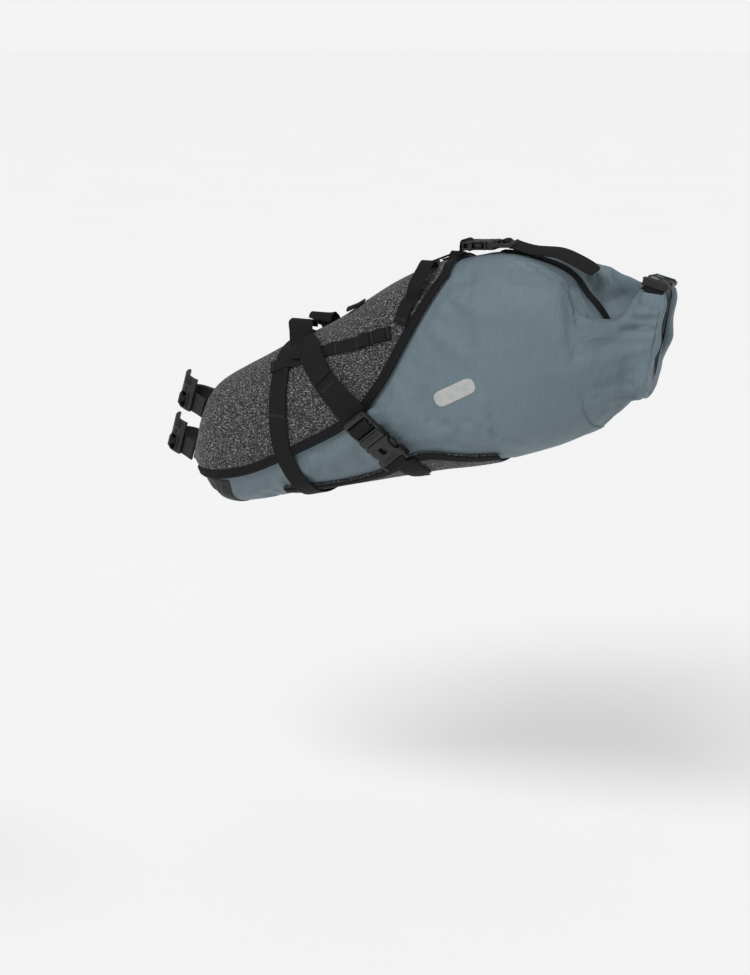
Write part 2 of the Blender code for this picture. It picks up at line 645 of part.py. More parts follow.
def post_strap(level, height, rubber):
    """One rubber post strap: a far band, a near band with a hook, and a plate that hooks over it."""
    frame = post_frame(height)
    inner = POST_RADIUS + BAND_CLEARANCE
    half = BAND_HALF_WIDTH
    far = [(0.0165, 0.0200), (0.008, 0.0165)] + arc(inner, 90, 172, 9)
    bent_strip(f"post_band_far_{level}", far, -half, half, frame, BAND_THICK, rubber)
    near = [(0.0165, -0.0200), (0.008, -0.0165)] + arc(inner, -90, -150, 8)
    bent_strip(f"post_band_near_{level}", near, -half, half, frame, BAND_THICK, rubber)

    plate_radius = inner + BAND_THICK + GAP
    hook_at = flat_turn(HOOK_TURN) * plate_radius
    hook_frame = frame @ frame_at(hook_at, flat_turn(HOOK_TURN - HOOK_LEAN), (0, 0, 1))
    hook = box(f"post_hook_{level}", (0.0050, 0.0030, 0.0070), (0.0032, 0, 0), hook_frame, rubber)
    bar = rod(f"post_hook_{level}_bar", 0.0018, 0.0120, (0.0058, 0, 0), "z", hook_frame, helper=True)
    combine(hook, "UNION", bar)

    pivot = Vector((-(plate_radius + 0.0018), PLATE_HINGE_SIDE, 0))
    hinge = frame @ Matrix.Translation(pivot)
    path = [(x - pivot.x, y - pivot.y) for x, y in arc(plate_radius, 180, 272, 12)]
    plate = bent_strip(f"post_plate_{level}", path, -half, half + PLATE_TAB, hinge, PLATE_THICK, rubber)
    middle = flat_turn(HOOK_TURN + radians(3))
    window_frame = hinge @ frame_at(middle * (plate_radius + 0.002) - pivot, middle, (0, 0, 1))
    window = box(f"post_plate_{level}_window", (0.02, 0.0120, 0.0156), (0, 0, 0), window_frame, helper=True)
    combine(plate, "DIFFERENCE", window)
    for k in range(3):
        rib_at = flat_turn(radians(200) + 0.25 * k) * (plate_radius + PLATE_THICK) - pivot
        rib = rod(f"post_plate_{level}_rib_{k}", 0.0009, 0.0120, rib_at + Vector((0, 0, half + 0.009)), "z",
                  hinge, helper=True, segments=10)
        combine(plate, "UNION", rib)


def main():
    clear_scene()
    for name in (COLLECTION, "cutters"):
        bpy.context.scene.collection.children.link(bpy.data.collections.new(name))

    felt = material("felt", (0.13, 0.135, 0.14), 0.95)
    coated = material("coated_fabric", (0.13, 0.18, 0.215), 0.6)
    black_coated = material("black_coated_fabric", (0.012, 0.012, 0.014), 0.6)
    tape = material("binding_tape", (0.014, 0.014, 0.015), 0.8)
    webbing = material("webbing", (0.012, 0.012, 0.013), 0.75)
    plastic = material("buckle_plastic", (0.011, 0.011, 0.012), 0.4)
    rubber = material("strap_rubber", (0.010, 0.010, 0.011), 0.55)

    holster_shell(felt)
    belly_panel(felt)
    bindings(tape)
    girth_webbing(webbing)
    for side, sign in SIDES:
        rail_strap(side, sign, webbing)
        daisy_webbing(side, sign, webbing)
        rim_loop(side, sign, webbing)
        belly_tab(side, sign, webbing)
    side_buckles(plastic, webbing)
    top_buckle(plastic, webbing)
    seatpost_pad(rubber)
    for level, height in (("upper", POST_STRAP_SPACING / 2), ("lower", -POST_STRAP_SPACING / 2)):
        post_strap(level, height, rubber)

    dry_bag(coated)
    nose_patch(black_coated)
    load_strap(webbing)
    rolled_closure(coated, webbing, plastic)
    bpy.context.view_layer.update()


main()
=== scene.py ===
"""Looks of a saddle bag: fabric, webbing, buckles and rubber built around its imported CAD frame.

Metres, in the frame's own axes: +X rearward, +Z up and +Y to the rider's right.
"""

import json
from math import cos, pi, radians, sin

import bmesh
import bpy
import numpy as np
from mathutils import Matrix, Vector, noise
from mathutils.bvhtree import BVHTree

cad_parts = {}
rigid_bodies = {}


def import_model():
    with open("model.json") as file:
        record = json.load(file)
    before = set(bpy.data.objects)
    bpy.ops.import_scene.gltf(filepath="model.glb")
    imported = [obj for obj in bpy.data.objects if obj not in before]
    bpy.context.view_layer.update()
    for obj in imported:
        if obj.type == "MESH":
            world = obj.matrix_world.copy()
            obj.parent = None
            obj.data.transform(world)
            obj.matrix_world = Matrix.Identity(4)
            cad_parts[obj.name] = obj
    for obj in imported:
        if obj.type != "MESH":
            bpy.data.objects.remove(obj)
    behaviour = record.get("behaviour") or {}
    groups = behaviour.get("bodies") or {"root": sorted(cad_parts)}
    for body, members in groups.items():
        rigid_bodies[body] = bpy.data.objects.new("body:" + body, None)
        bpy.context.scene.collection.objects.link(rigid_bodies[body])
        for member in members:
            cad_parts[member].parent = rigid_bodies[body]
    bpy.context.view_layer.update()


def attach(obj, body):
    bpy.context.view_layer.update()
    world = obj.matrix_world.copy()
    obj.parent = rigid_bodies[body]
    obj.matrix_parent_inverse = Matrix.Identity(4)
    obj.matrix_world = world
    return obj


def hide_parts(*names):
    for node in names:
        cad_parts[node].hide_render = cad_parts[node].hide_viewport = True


SIDES = (("left", -1), ("right", 1))

# The stuffed bag, nose to tail. Each station is a flat slice between its top and bottom points.
# top x, top z, bottom x, bottom z, half width, depth of the middle valley, dip of the left ridge
STATIONS = (
    (0.031, 0.032, 0.011, -0.034, 0.024, 0.0, 0.0),
    (0.036, 0.041, 0.019, -0.052, 0.036, 0.0, 0.0),
    (0.048, 0.051, 0.036, -0.068, 0.045, 0.0, 0.0),
    (0.068, 0.063, 0.062, -0.0755, 0.051, 0.0, 0.0),
    (0.118, 0.090, 0.118, -0.061, 0.059, 0.0, 0.0),
    (0.168, 0.116, 0.176, -0.0455, 0.064, 0.0, 0.0),
    (0.214, 0.146, 0.231, -0.031, 0.068, 0.0, 0.0),
    (0.258, 0.171, 0.285, -0.017, 0.070, 0.0, 0.0),
    (0.305, 0.187, 0.342, -0.004, 0.071, 0.0, 0.0),
    (0.350, 0.192, 0.393, 0.014, 0.070, 0.0, 0.0),
    (0.396, 0.193, 0.429, 0.032, 0.063, 0.014, 0.006),
    (0.430, 0.190, 0.449, 0.046, 0.050, 0.050, 0.024),
    (0.454, 0.184, 0.459, 0.056, 0.036, 0.080, 0.022),
    (0.472, 0.177, 0.465, 0.062, 0.026, 0.092, 0.004),
)
# The visible fabric sags more at its left ridge, and reaches back round the rolled mouth as two ears.
FABRIC_STATIONS = STATIONS[:10] + (
    (0.396, 0.193, 0.429, 0.032, 0.063, 0.014, 0.012),
    (0.413, 0.192, 0.439, 0.039, 0.0565, 0.032, 0.040),
    (0.430, 0.190, 0.449, 0.046, 0.050, 0.052, 0.045),
    (0.454, 0.184, 0.459, 0.056, 0.036, 0.082, 0.039),
    (0.472, 0.1795, 0.465, 0.062, 0.0275, 0.096, 0.010),
    (0.484, 0.1880, 0.4725, 0.064, 0.0262, 0.104, 0.0),
    (0.4980, 0.1765, 0.4830, 0.072, 0.0256, 0.096, 0.0),
)
SQUARENESS = 2.4
VALLEY_SHARE = 0.62
GIRTH = 0.42

# Heights above the dry bag's skin.
SHELL_LIFT, SHELL_THICK = 0.0008, 0.0022
FIRST_LIFT, SECOND_LIFT, THIRD_LIFT = 0.0050, 0.0065, 0.0084
WEBBING_THICK = 0.0013

# Edges on the left side, as (x, z) points from the nose rearward.
HOLSTER_EDGE = ((0.024, -0.046), (0.060, -0.043), (0.098, -0.031), (0.154, -0.003), (0.200, 0.023),
                (0.228, 0.047))
HOLSTER_RIM = ((0.228, 0.047), (0.248, 0.074), (0.267, 0.109), (0.288, 0.150), (0.300, 0.173))
RIM_TOP_X = 0.298
FLANK_END_X = 0.236
NOSE_TOP_X = 0.036
BELLY_EDGE = ((0.122, -0.048), (0.179, -0.037), (0.218, -0.024), (0.245, -0.010), (0.265, 0.002),
              (0.285, 0.008), (0.320, 0.007), (0.350, 0.010))
PATCH_EDGE = ((0.0235, -0.0495), (0.040, -0.0485), (0.062, -0.0470))

# Webbing widths.
GIRTH_WIDTH = 0.020
RAIL_WIDTH = 0.025
DAISY_WIDTH = 0.012
LOOP_WIDTH = 0.014
LOAD_WIDTH = 0.012
TOP_WIDTH = 0.020
BINDING_WIDTH = 0.009
RAIL_Z = 0.112

# Buckles, as (width, length, height).
DRAWN_BUCKLE = (0.031, 0.062, 0.009)
SIDE_BUCKLE = DRAWN_BUCKLE
TOP_BUCKLE = (0.026, 0.050, 0.008)
MOUTH_BUCKLE = (0.025, 0.036, 0.0068)

THREAD_RADIUS = 0.0003

POST_RADIUS = 0.0136
POST_LEAN = radians(16.5)
POST_STRAP_SPACING = 0.048
HOOK_LEAN = radians(18)

# The rolled mouth, a hairpin that stands on its bend.
ROLL_FOOT = Vector((0.4800, 0, 0.072))
ROLL_LEAN = Vector((0.008, 0, 0.105)).normalized()
ROLL_ARM, ROLL_BEND, ROLL_TALL = 0.0185, 0.014, 0.095


# ---------------------------------------------------------------- camera, light and floor

def add_camera():
    """The view from the bag's left rear quarter, a little above it."""
    azimuth, pitch = radians(24.5), radians(15)
    ahead = Vector((-sin(azimuth) * cos(pitch), cos(azimuth) * cos(pitch), -sin(pitch)))
    camera = bpy.data.objects.new("camera", bpy.data.cameras.new("camera"))
    camera.data.lens = 65.9
    camera.data.sensor_width = 36
    camera.location = (0.9198, -1.5698, 0.4124)
    camera.rotation_euler = ahead.to_track_quat("-Z", "Y").to_euler()
    bpy.context.scene.collection.objects.link(camera)
    bpy.context.scene.camera = camera


def add_sun(name, direction, angle, strength):
    sun = bpy.data.objects.new(name, bpy.data.lights.new(name, "SUN"))
    sun.data.energy = strength
    sun.data.angle = radians(angle)
    sun.rotation_euler = Vector(direction).to_track_quat("-Z", "Y").to_euler()
    bpy.context.scene.collection.objects.link(sun)


def add_studio():
    """A white surround, a pale floor well below the bag, a broad main light and a weaker one behind."""
    world = bpy.data.worlds.new("studio")
    world.use_nodes = True
    sky = world.node_tree.nodes["Background"].inputs
    sky["Color"].default_value = (1, 1, 1, 1)
    sky["Strength"].default_value = 0.40
    bpy.context.scene.world = world
    bpy.context.scene.view_settings.view_transform = "Standard"

    add_sun("main", (0.12, 0.80, -0.88), 30, 2.05)
    add_sun("behind", (-0.9, -0.35, -0.75), 20, 0.75)

    bpy.ops.mesh.primitive_uv_sphere_add(segments=48, ring_count=24, radius=38.0)
    backdrop = bpy.context.object
    backdrop.name = "backdrop"
    glow = Paint("studio_backdrop", roughness=1.0, specular=0.0)
    for socket, value in (("Base Color", (0, 0, 0, 1)), ("Emission Color", (1, 1, 1, 1)),
                          ("Emission Strength", 0.90)):
        glow.shader.inputs[socket].default_value = value
    backdrop.data.materials.append(glow.made)
    for seen in ("diffuse", "glossy", "transmission", "volume_scatter", "shadow"):
        setattr(backdrop, "visible_" + seen, False)

    mesh = bpy.data.meshes.new("floor")
    reach, level = 40.0, -0.45
    mesh.from_pydata([(x * reach, y * reach, level) for x, y in ((-1, -1), (1, -1), (1, 1), (-1, 1))], [],
                     [(0, 1, 2, 3)])
    floor = bpy.data.objects.new("floor", mesh)
    bpy.context.scene.collection.objects.link(floor)
    paint = Paint("studio_floor", roughness=0.9)
    paint.colour(paint.ramp(paint.noise(3.0), (0.0, (0.88, 0.88, 0.885)), (1.0, (0.90, 0.90, 0.905))))
    mesh.materials.append(paint.made)


# ---------------------------------------------------------------- materials

SOCKETS = {"roughness": "Roughness", "metallic": "Metallic", "sheen": "Sheen Weight",
           "specular": "Specular IOR Level"}


class Paint:
    """A Principled material whose node tree is built up one texture at a time."""

    def __init__(self, name, **sockets):
        self.made = bpy.data.materials.new(name)
        self.made.use_nodes = True
        self.tree = self.made.node_tree
        self.shader = self.tree.nodes["Principled BSDF"]
        for socket, value in sockets.items():
            self.shader.inputs[SOCKETS[socket]].default_value = value
        self.place = self.add("TexCoord").outputs["Object"]

    def add(self, kind, inputs=(), **settings):
        node = self.tree.nodes.new("ShaderNode" + kind)
        for name, value in settings.items():
            setattr(node, name, value)
        for name, value in dict(inputs).items():
            if isinstance(value, bpy.types.NodeSocket):
                self.tree.links.new(value, node.inputs[name])
            else:
                node.inputs[name].default_value = value
        return node

    def noise(self, scale, detail=3.0, stretch=(1, 1, 1), turn=(0, 0, 0), rough=0.5):
        """Noise by place, so many features to the metre, drawn out along an axis if stretched."""
        placed = self.add("Mapping", {"Vector": self.place, "Scale": stretch, "Rotation": turn})
        return self.add("TexNoise", {"Vector": placed.outputs[0], "Scale": scale, "Detail": detail,
                                     "Roughness": rough}).outputs[0]

    def math(self, operation, first, second=0.0):
        return self.add("Math", {0: first, 1: second}, operation=operation).outputs[0]

    def blend(self, *parts):
        """The sum of values, each times its share."""
        scaled = [self.math("MULTIPLY", value, share) for value, share in parts]
        total = scaled[0]
        for part in scaled[1:]:
            total = self.math("ADD", total, part)
        return total

    def mix(self, share, first, second):
        return self.add("Mix", {"Factor": share, "A": first, "B": second}, data_type="FLOAT").outputs[0]

    def ramp(self, value, *stops):
        ramp = self.add("ValToRGB", {"Fac": value})
        elements = ramp.color_ramp.elements
        while len(elements) < len(stops):
            elements.new(0.5)
        for element, (position, colour) in zip(elements, stops):
            element.position = position
            element.color = (*colour, 1.0)
        return ramp.outputs[0]

    def cloth_uv(self):
        """The length along a piece and the distance across it, in metres."""
        split = self.add("SeparateXYZ", {0: self.add("UVMap", uv_map="cloth").outputs[0]})
        return split.outputs[0], split.outputs[1]

    def wave(self, value, pitch):
        """A sine of this length along a value in metres, from 0 to 1."""
        sine = self.math("SINE", self.math("MULTIPLY", value, 2 * pi / pitch))
        return self.add("MapRange", {0: sine, 1: -1.0, 2: 1.0}).outputs[0]

    def colour(self, socket):
        self.tree.links.new(socket, self.shader.inputs["Base Color"])

    def roughness(self, value, low, high):
        ranged = self.add("MapRange", {0: value, 3: low, 4: high}).outputs[0]
        self.tree.links.new(ranged, self.shader.inputs["Roughness"])

    def bump(self, height, distance, strength=1.0):
        bump = self.add("Bump", {"Height": height, "Distance": distance, "Strength": strength})
        self.tree.links.new(bump.outputs[0], self.shader.inputs["Normal"])


def felt_paint():
    """Melange felt: dark wool flecked with light fibres that lie every way."""
    paint = Paint("melange_felt", roughness=0.95, sheen=0.12, specular=0.2)
    fibres = paint.noise(330, 4.0, (1, 3, 2.2), (0.4, 0.2, 0.9), 0.66)
    crossed = paint.noise(340, 4.0, (2.6, 1, 3), (1.1, 0.7, 0.3), 0.66)
    flecks = paint.noise(820, 3.0, rough=0.75)
    mixed = paint.blend((fibres, 0.34), (crossed, 0.33), (flecks, 0.33))
    paint.colour(paint.ramp(mixed, (0.44, (0.006, 0.006, 0.007)), (0.49, (0.026, 0.026, 0.028)),
                            (0.535, (0.075, 0.076, 0.079)), (0.595, (0.38, 0.38, 0.39))))
    paint.bump(paint.math("ADD", mixed, paint.noise(90, 2.0)), 0.0016, 0.8)
    return paint.made


def coated_paint(name, dark, light):
    """Coated ripstop fabric: a fine even rib with slight thick and thin threads."""
    paint = Paint(name, roughness=0.55, specular=0.32)
    along, across = paint.cloth_uv()
    warp = paint.wave(along, 0.0013)
    weft = paint.wave(across, 0.0009)
    weave = paint.mix(0.45, warp, weft)
    threads = paint.noise(60, 5.0, (9, 1, 1), rough=0.65)
    drift = paint.noise(9, 4.0, rough=0.6)
    tone = paint.blend((weave, 0.22), (threads, 0.34), (drift, 0.44))
    paint.colour(paint.ramp(tone, (0.25, dark), (0.75, light)))
    paint.roughness(paint.blend((drift, 0.6), (threads, 0.4)), 0.42, 0.62)
    paint.bump(paint.blend((weave, 1.0), (threads, 0.8), (paint.noise(120, 3.0), 1.2)), 0.00022, 0.8)
    return paint.made


def webbing_paint(name, pitch, slant, dark, light):
    """Woven webbing: ribs along it, crossed by slanting threads that turn back at each rib."""
    paint = Paint(name, roughness=0.75, specular=0.12)
    along, across = paint.cloth_uv()
    zigzag = paint.math("PINGPONG", across, pitch)
    slanted = paint.math("ADD", along, paint.math("MULTIPLY", zigzag, slant))
    threads = paint.wave(slanted, pitch * 0.62)
    ribs = paint.wave(across, pitch)
    weave = paint.mix(0.35, threads, ribs)
    wear = paint.noise(70, 4.0, rough=0.7)
    paint.colour(paint.ramp(paint.blend((weave, 0.6), (wear, 0.4)), (0.2, dark), (0.8, light)))
    paint.roughness(wear, 0.62, 0.85)
    paint.bump(weave, 0.00035, 0.9)
    return paint.made


def moulded_paint(name, dark, light, smooth, dull, grain):
    """Moulded plastic or rubber: a fine spark-eroded grain, dulled in patches by handling."""
    paint = Paint(name, roughness=smooth, specular=0.4)
    grained = paint.noise(grain, 3.0)
    handled = paint.noise(55, 5.0, rough=0.6)
    paint.colour(paint.ramp(paint.blend((grained, 0.4), (handled, 0.6)), (0.3, dark), (0.75, light)))
    paint.roughness(handled, smooth, dull)
    paint.bump(grained, 0.00012, 0.6)
    return paint.made


def reflective_paint():
    """Printed reflector: pale grey with the tight honeycomb of its glass beads."""
    paint = Paint("reflective_print", roughness=0.42, metallic=0.15)
    beads = paint.add("TexVoronoi", {"Vector": paint.place, "Scale": 900}).outputs["Distance"]
    wear = paint.noise(140, 4.0)
    paint.colour(paint.ramp(paint.blend((beads, 0.5), (wear, 0.5)), (0.2, (0.30, 0.31, 0.31)),
                            (0.6, (0.44, 0.45, 0.45))))
    paint.roughness(wear, 0.35, 0.55)
    paint.bump(beads, 0.0001, 0.5)
    return paint.made


def thread_paint(name, dark, light):
    """Sewing thread: two plies twisted round each other."""
    paint = Paint(name, roughness=0.6, specular=0.25)
    twist = paint.noise(1500, 2.0, (1, 2, 2))
    paint.colour(paint.ramp(twist, (0.35, dark), (0.7, light)))
    paint.bump(twist, 0.0001, 0.8)
    return paint.made


# ---------------------------------------------------------------- the bag's skin

def between(before, here, after, beyond, f):
    """A place the share f of the way from here to after, on a smooth curve through all four."""
    return ((2 * f**3 - 3 * f**2 + 1) * here + (f**3 - 2 * f**2 + f) * (after - before) / 2
            + (3 * f**2 - 2 * f**3) * after + (f**3 - f**2) * (beyond - here) / 2)


def skin_points(u, angle, stations=STATIONS):
    """Points of the skin at arrays of u, 0 at the nose to 1 at the tail, and angle from the top."""
    rows = np.array(stations)
    place = np.clip(u, 0, 1) * (len(rows) - 1)
    k = np.minimum(place.astype(int), len(rows) - 2)
    values = between(rows[np.maximum(k - 1, 0)], rows[k], rows[k + 1], rows[np.minimum(k + 2, len(rows) - 1)],
                     (place - k)[..., None])
    top_x, top_z, bottom_x, bottom_z, half_width, valley, dip = np.moveaxis(values, -1, 0)
    power = 2 / SQUARENESS
    across = half_width * np.sign(np.sin(angle)) * np.abs(np.sin(angle)) ** power
    up = np.sign(np.cos(angle)) * np.abs(np.cos(angle)) ** power
    reach = np.minimum(np.abs(across) / (VALLEY_SHARE * half_width), 1)
    left = ease(-across / (0.5 * half_width))
    tall = np.hypot(top_x - bottom_x, top_z - bottom_z) / 2
    up = np.where(up > 0, up - (valley * (1 - reach**2) ** 2 + dip * left * up) / tall, up)
    return np.stack([(top_x + bottom_x) / 2 + (top_x - bottom_x) / 2 * up, across,
                     (top_z + bottom_z) / 2 + (top_z - bottom_z) / 2 * up], -1)


def skin_grid(rows, columns, stations=STATIONS):
    """Skin points, rows nose to tail and columns round the bag, with their outward normals."""
    u, angle = np.meshgrid(np.linspace(0, 1, rows), 2 * pi * np.arange(columns) / columns, indexing="ij")
    points = skin_points(u, angle, stations)
    normals = np.cross(np.gradient(points, axis=0), (np.roll(points, -1, 1) - np.roll(points, 1, 1)) / 2)
    normals /= np.maximum(np.linalg.norm(normals, axis=-1, keepdims=True), 1e-12)
    left_side = normals[rows // 2, columns * 3 // 4]
    return points, -normals if left_side[1] > 0 else normals


class Skin:
    """A surface to lay other pieces on, from its points, unit normals and faces."""

    def __init__(self, points, normals, faces):
        self.points = [Vector(p) for p in points]
        self.normals = [Vector(n) for n in normals]
        self.faces = faces
        self.tree = BVHTree.FromPolygons(self.points, faces)

    def on(self, near, lift):
        """The skin's point nearest to a place, raised by lift, and the outward normal there."""
        spot, _, face, _ = self.tree.find_nearest(near)
        corners = self.faces[face]
        shares = [1 / ((self.points[k] - spot).length + 1e-6) for k in corners]
        normal = sum((self.normals[k] * share for k, share in zip(corners, shares)), Vector()).normalized()
        return spot + normal * lift, normal

    def left(self, x, z):
        """The skin's point on the left side at this x and z."""
        spot = self.tree.ray_cast(Vector((x, -0.3, z)), Vector((0, 1, 0)))[0]
        return spot if spot else self.on(Vector((x, -0.03, z)), 0)[0]

    def side(self, sign, x, z):
        """The same point on the side of this sign."""
        return sided([(self.left(x, z), 0)], sign)[0][0]

    def laid(self, spots, *lifts):
        """A route through (x, z) spots on the left side, with one lift for all or a lift for each."""
        lifts = lifts if len(lifts) == len(spots) else lifts * len(spots)
        return [(self.left(x, z), lift) for (x, z), lift in zip(spots, lifts)]

    def top(self, x, y):
        return self.tree.ray_cast(Vector((x, y, 0.5)), Vector((0, 0, -1)))[0]

    def below(self, x, y):
        return self.tree.ray_cast(Vector((x, y, -0.5)), Vector((0, 0, 1)))[0]


def smooth_skin():
    """The dry bag's skin without its folds, as the CAD has it."""
    rows, columns = 301, 240
    points, normals = skin_grid(rows, columns)
    return Skin(points.reshape(-1, 3), normals.reshape(-1, 3), grid_faces(rows, columns, wrap=True))


def fabric_skin(body):
    """The surface of a finished fabric piece."""
    data = body.data
    return Skin([v.co.copy() for v in data.vertices], [v.normal.copy() for v in data.vertices],
                [tuple(p.vertices) for p in data.polygons if len(p.vertices) < 5])


def grid_faces(rows, columns, wrap=False):
    last = columns if wrap else columns - 1
    return [(i * columns + j, i * columns + (j + 1) % columns, (i + 1) * columns + (j + 1) % columns,
             (i + 1) * columns + j) for i in range(rows - 1) for j in range(last)]


def tube_faces(rows, columns):
    """Faces of a tube of rings, closed at both ends."""
    return grid_faces(rows, columns, wrap=True) + [
        tuple(range(columns)), tuple(rows * columns - 1 - j for j in range(columns))]


def sheet_faces(rows, columns):
    """Faces of a thin closed sheet: a lower grid, then an upper one, joined round the rim."""
    count = rows * columns
    lower = grid_faces(rows, columns)
    rim = list(range(columns)) + [i * columns + columns - 1 for i in range(1, rows)]
    rim += [(rows - 1) * columns + j for j in range(columns - 2, -1, -1)]
    rim += [i * columns for i in range(rows - 2, 0, -1)]
    return ([tuple(reversed(face)) for face in lower] + [tuple(count + k for k in face) for face in lower]
            + [(a, b, count + b, count + a) for a, b in zip(rim, rim[1:] + rim[:1])])


def spline(points, spacing):
    """Places on a smooth curve through the points, each with its segment and the share along it."""
    points = [Vector(p) for p in points]
    found = []
    for k in range(len(points) - 1):
        before, here, after = points[max(k - 1, 0)], points[k], points[k + 1]
        beyond = points[min(k + 2, len(points) - 1)]
        steps = max(1, round((after - here).length / spacing))
        found += [(between(before, here, after, beyond, step / steps), k,
                   step / steps) for step in range(steps)]
    return found + [(points[-1], len(points) - 2, 1.0)]


def resampled(points, count, crowding=1.0):
    """count + 1 points along a polyline, evenly spaced or closer together at its start."""
    lengths = np.concatenate([[0], np.cumsum([(b - a).length for a, b in zip(points, points[1:])])])
    marks = np.linspace(0, 1, count + 1) ** crowding * lengths[-1]
    return [Vector([np.interp(m, lengths, [p[axis] for p in points]) for axis in range(3)]) for m in marks]


def flipped(points):
    return [Vector((p.x, -p.y, p.z)) for p in points]


def both_sides(left):
    """A row of points from the left side to the middle, carried on to the right side."""
    return left + flipped(reversed(left[:-1]))


def sided(route, sign):
    """A left-side route of (place, lift) pairs, mirrored for the right side."""
    return route if sign < 0 else [(Vector((p.x, -p.y, p.z)), lift) for p, lift in route]


def smooth(value):
    value = min(max(value, 0.0), 1.0)
    return value * value * (3 - 2 * value)


def ease(values):
    """The same for arrays."""
    values = np.clip(values, 0, 1)
    return values * values * (3 - 2 * values)


# ---------------------------------------------------------------- building blocks

def add_piece(name, mesh, paint, body, replaced=()):
    """A finished mesh as a piece of the object: it rides on a body and stands for CAD nodes."""
    piece = bpy.data.objects.new(name, mesh)
    bpy.context.scene.collection.objects.link(piece)
    if paint:
        mesh.materials.append(paint)
    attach(piece, body)
    if replaced:
        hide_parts(*replaced)
    return piece


def mesh_of(name, points, faces, uvs=None):
    """A smooth mesh. uvs holds one (along, across) pair for each vertex, in metres."""
    mesh = bpy.data.meshes.new(name)
    mesh.from_pydata([tuple(p) for p in points], [], faces)
    if uvs is not None:
        layer = mesh.uv_layers.new(name="cloth")
        corners = np.empty(len(mesh.loops), np.int32)
        mesh.loops.foreach_get("vertex_index", corners)
        layer.data.foreach_set("uv", np.array(uvs, np.float32)[corners].ravel())
    mesh.shade_smooth()
    return mesh


def outward(mesh):
    """Turns every face of a closed mesh out."""
    shape = bmesh.new()
    shape.from_mesh(mesh)
    bmesh.ops.recalc_face_normals(shape, faces=shape.faces)
    shape.to_mesh(mesh)
    shape.free()
    return mesh


def band_profile(width, thickness, columns=8, lift=0.0, crown=0.0):
    """The closed outline of webbing as (across, height) points, with rounded edges."""
    half, soft = width / 2, thickness * 0.42
    marks = np.linspace(-1, 1, columns + 1)
    inner = [(m * (half - soft), lift) for m in marks]
    outer = [(m * (half - soft), lift + thickness + crown * (1 - m * m)) for m in marks[::-1]]
    return (inner + [(half, lift + soft), (half, lift + thickness - soft)] + outer
            + [(-half, lift + thickness - soft), (-half, lift + soft)])


def sweep(skin, name, route, profile, spacing=0.002, shift=0.0, free_across=(1, 0, 0), wide=None):
    """A mesh swept along a route of (place, lift) pairs. A lift of None leaves the route free."""
    grid, uvs, run = [], [], 0.0
    places = spline([place for place, _ in route], spacing)
    for k, (place, segment, f) in enumerate(places):
        ahead = (places[min(k + 1, len(places) - 1)][0] - places[max(k - 1, 0)][0]).normalized()
        run += (place - places[max(k - 1, 0)][0]).length
        first, second = route[segment][1], route[segment + 1][1]
        bound = (first is not None) * (1 - f) + (second is not None) * f
        low = first if first is not None else second or 0.0
        high = second if second is not None else first or 0.0
        lift = low * (1 - f) + high * f
        across = ahead.cross(skin.on(place, 0)[1]).normalized()
        level = Vector(free_across) - ahead * ahead.dot(Vector(free_across))
        level = level.normalized() * (1 if level.dot(across) > 0 else -1)
        across = level.lerp(across, smooth(2 * bound - 1) if bound < 1 else 1).normalized()
        up = across.cross(ahead).normalized()
        scale = wide(run) if wide else 1.0
        row = []
        for a, height in profile:
            spot = place + across * (shift + a * scale)
            free = spot + up * height
            row.append(free.lerp(skin.on(spot, lift + height)[0], smooth(2 * bound - 1)) if bound > 0.5
                       else free)
            uvs.append((run, a))
        grid.append(row)
    faces = tube_faces(len(grid), len(profile))
    return outward(mesh_of(name, [p for row in grid for p in row], faces, uvs))


def add_band(skin, name, route, profile, paint, body="holster", replaced=(), slot="webbing", **shape):
    """A swept piece, made from the route and profile and added to a body. Its slot argument is not used."""
    return add_piece(name, sweep(skin, name, route, profile, **shape), paint, body, replaced)


def cloth_panel(skin, name, grid, lift, thickness, ripple=0.0):
    """A closed sheet of cloth over rows of rough places, laid on the skin with rounded edges."""
    soft = 0.0006
    rows, columns = len(grid), len(grid[0])
    low, high, uvs = [], [], []
    width = [0.0] + list(np.cumsum([(b - a).length for a, b in zip(grid[rows // 2], grid[rows // 2][1:])]))
    length = [0.0] + list(np.cumsum([(b[columns // 2] - a[columns // 2]).length
                                     for a, b in zip(grid, grid[1:])]))
    for i, row in enumerate(grid):
        for j, place in enumerate(row):
            edge = min(i, j, rows - 1 - i, columns - 1 - j)
            inset = soft if edge == 0 else 0.0
            wavy = ripple * noise.noise(place * 28) * smooth(edge / 8)
            spot, normal = skin.on(place, lift)
            low.append(spot + normal * inset)
            high.append(spot + normal * (thickness - inset + wavy))
            uvs.append((length[i], width[j]))
    return outward(mesh_of(name, low + high, sheet_faces(rows, columns), uvs + uvs))


def add_stitches(name, spots, thread, body):
    """Sewing stitches, each a small thread capsule, from (centre, along, normal, length) tuples."""
    shares = ((-0.5, 0.25), (-0.36, 0.95), (0.36, 0.95), (0.5, 0.25))
    sides = 6
    points, faces, uvs = [], [], []
    for centre, along, normal, length in spots:
        across = along.cross(normal).normalized()
        start = len(points)
        for share, wide in shares:
            for k in range(sides):
                turn = 2 * pi * k / sides
                points.append(centre + along * (share * length)
                              + (across * cos(turn) + normal * sin(turn)) * THREAD_RADIUS * wide)
                uvs.append((share * length, turn * THREAD_RADIUS))
        faces += [tuple(start + v for v in face) for face in grid_faces(len(shares), sides, wrap=True)]
        faces.append(tuple(start + k for k in reversed(range(sides))))
        faces.append(tuple(start + (len(shares) - 1) * sides + k for k in range(sides)))
    add_piece(name, outward(mesh_of(name, points, faces, uvs)), thread, body)


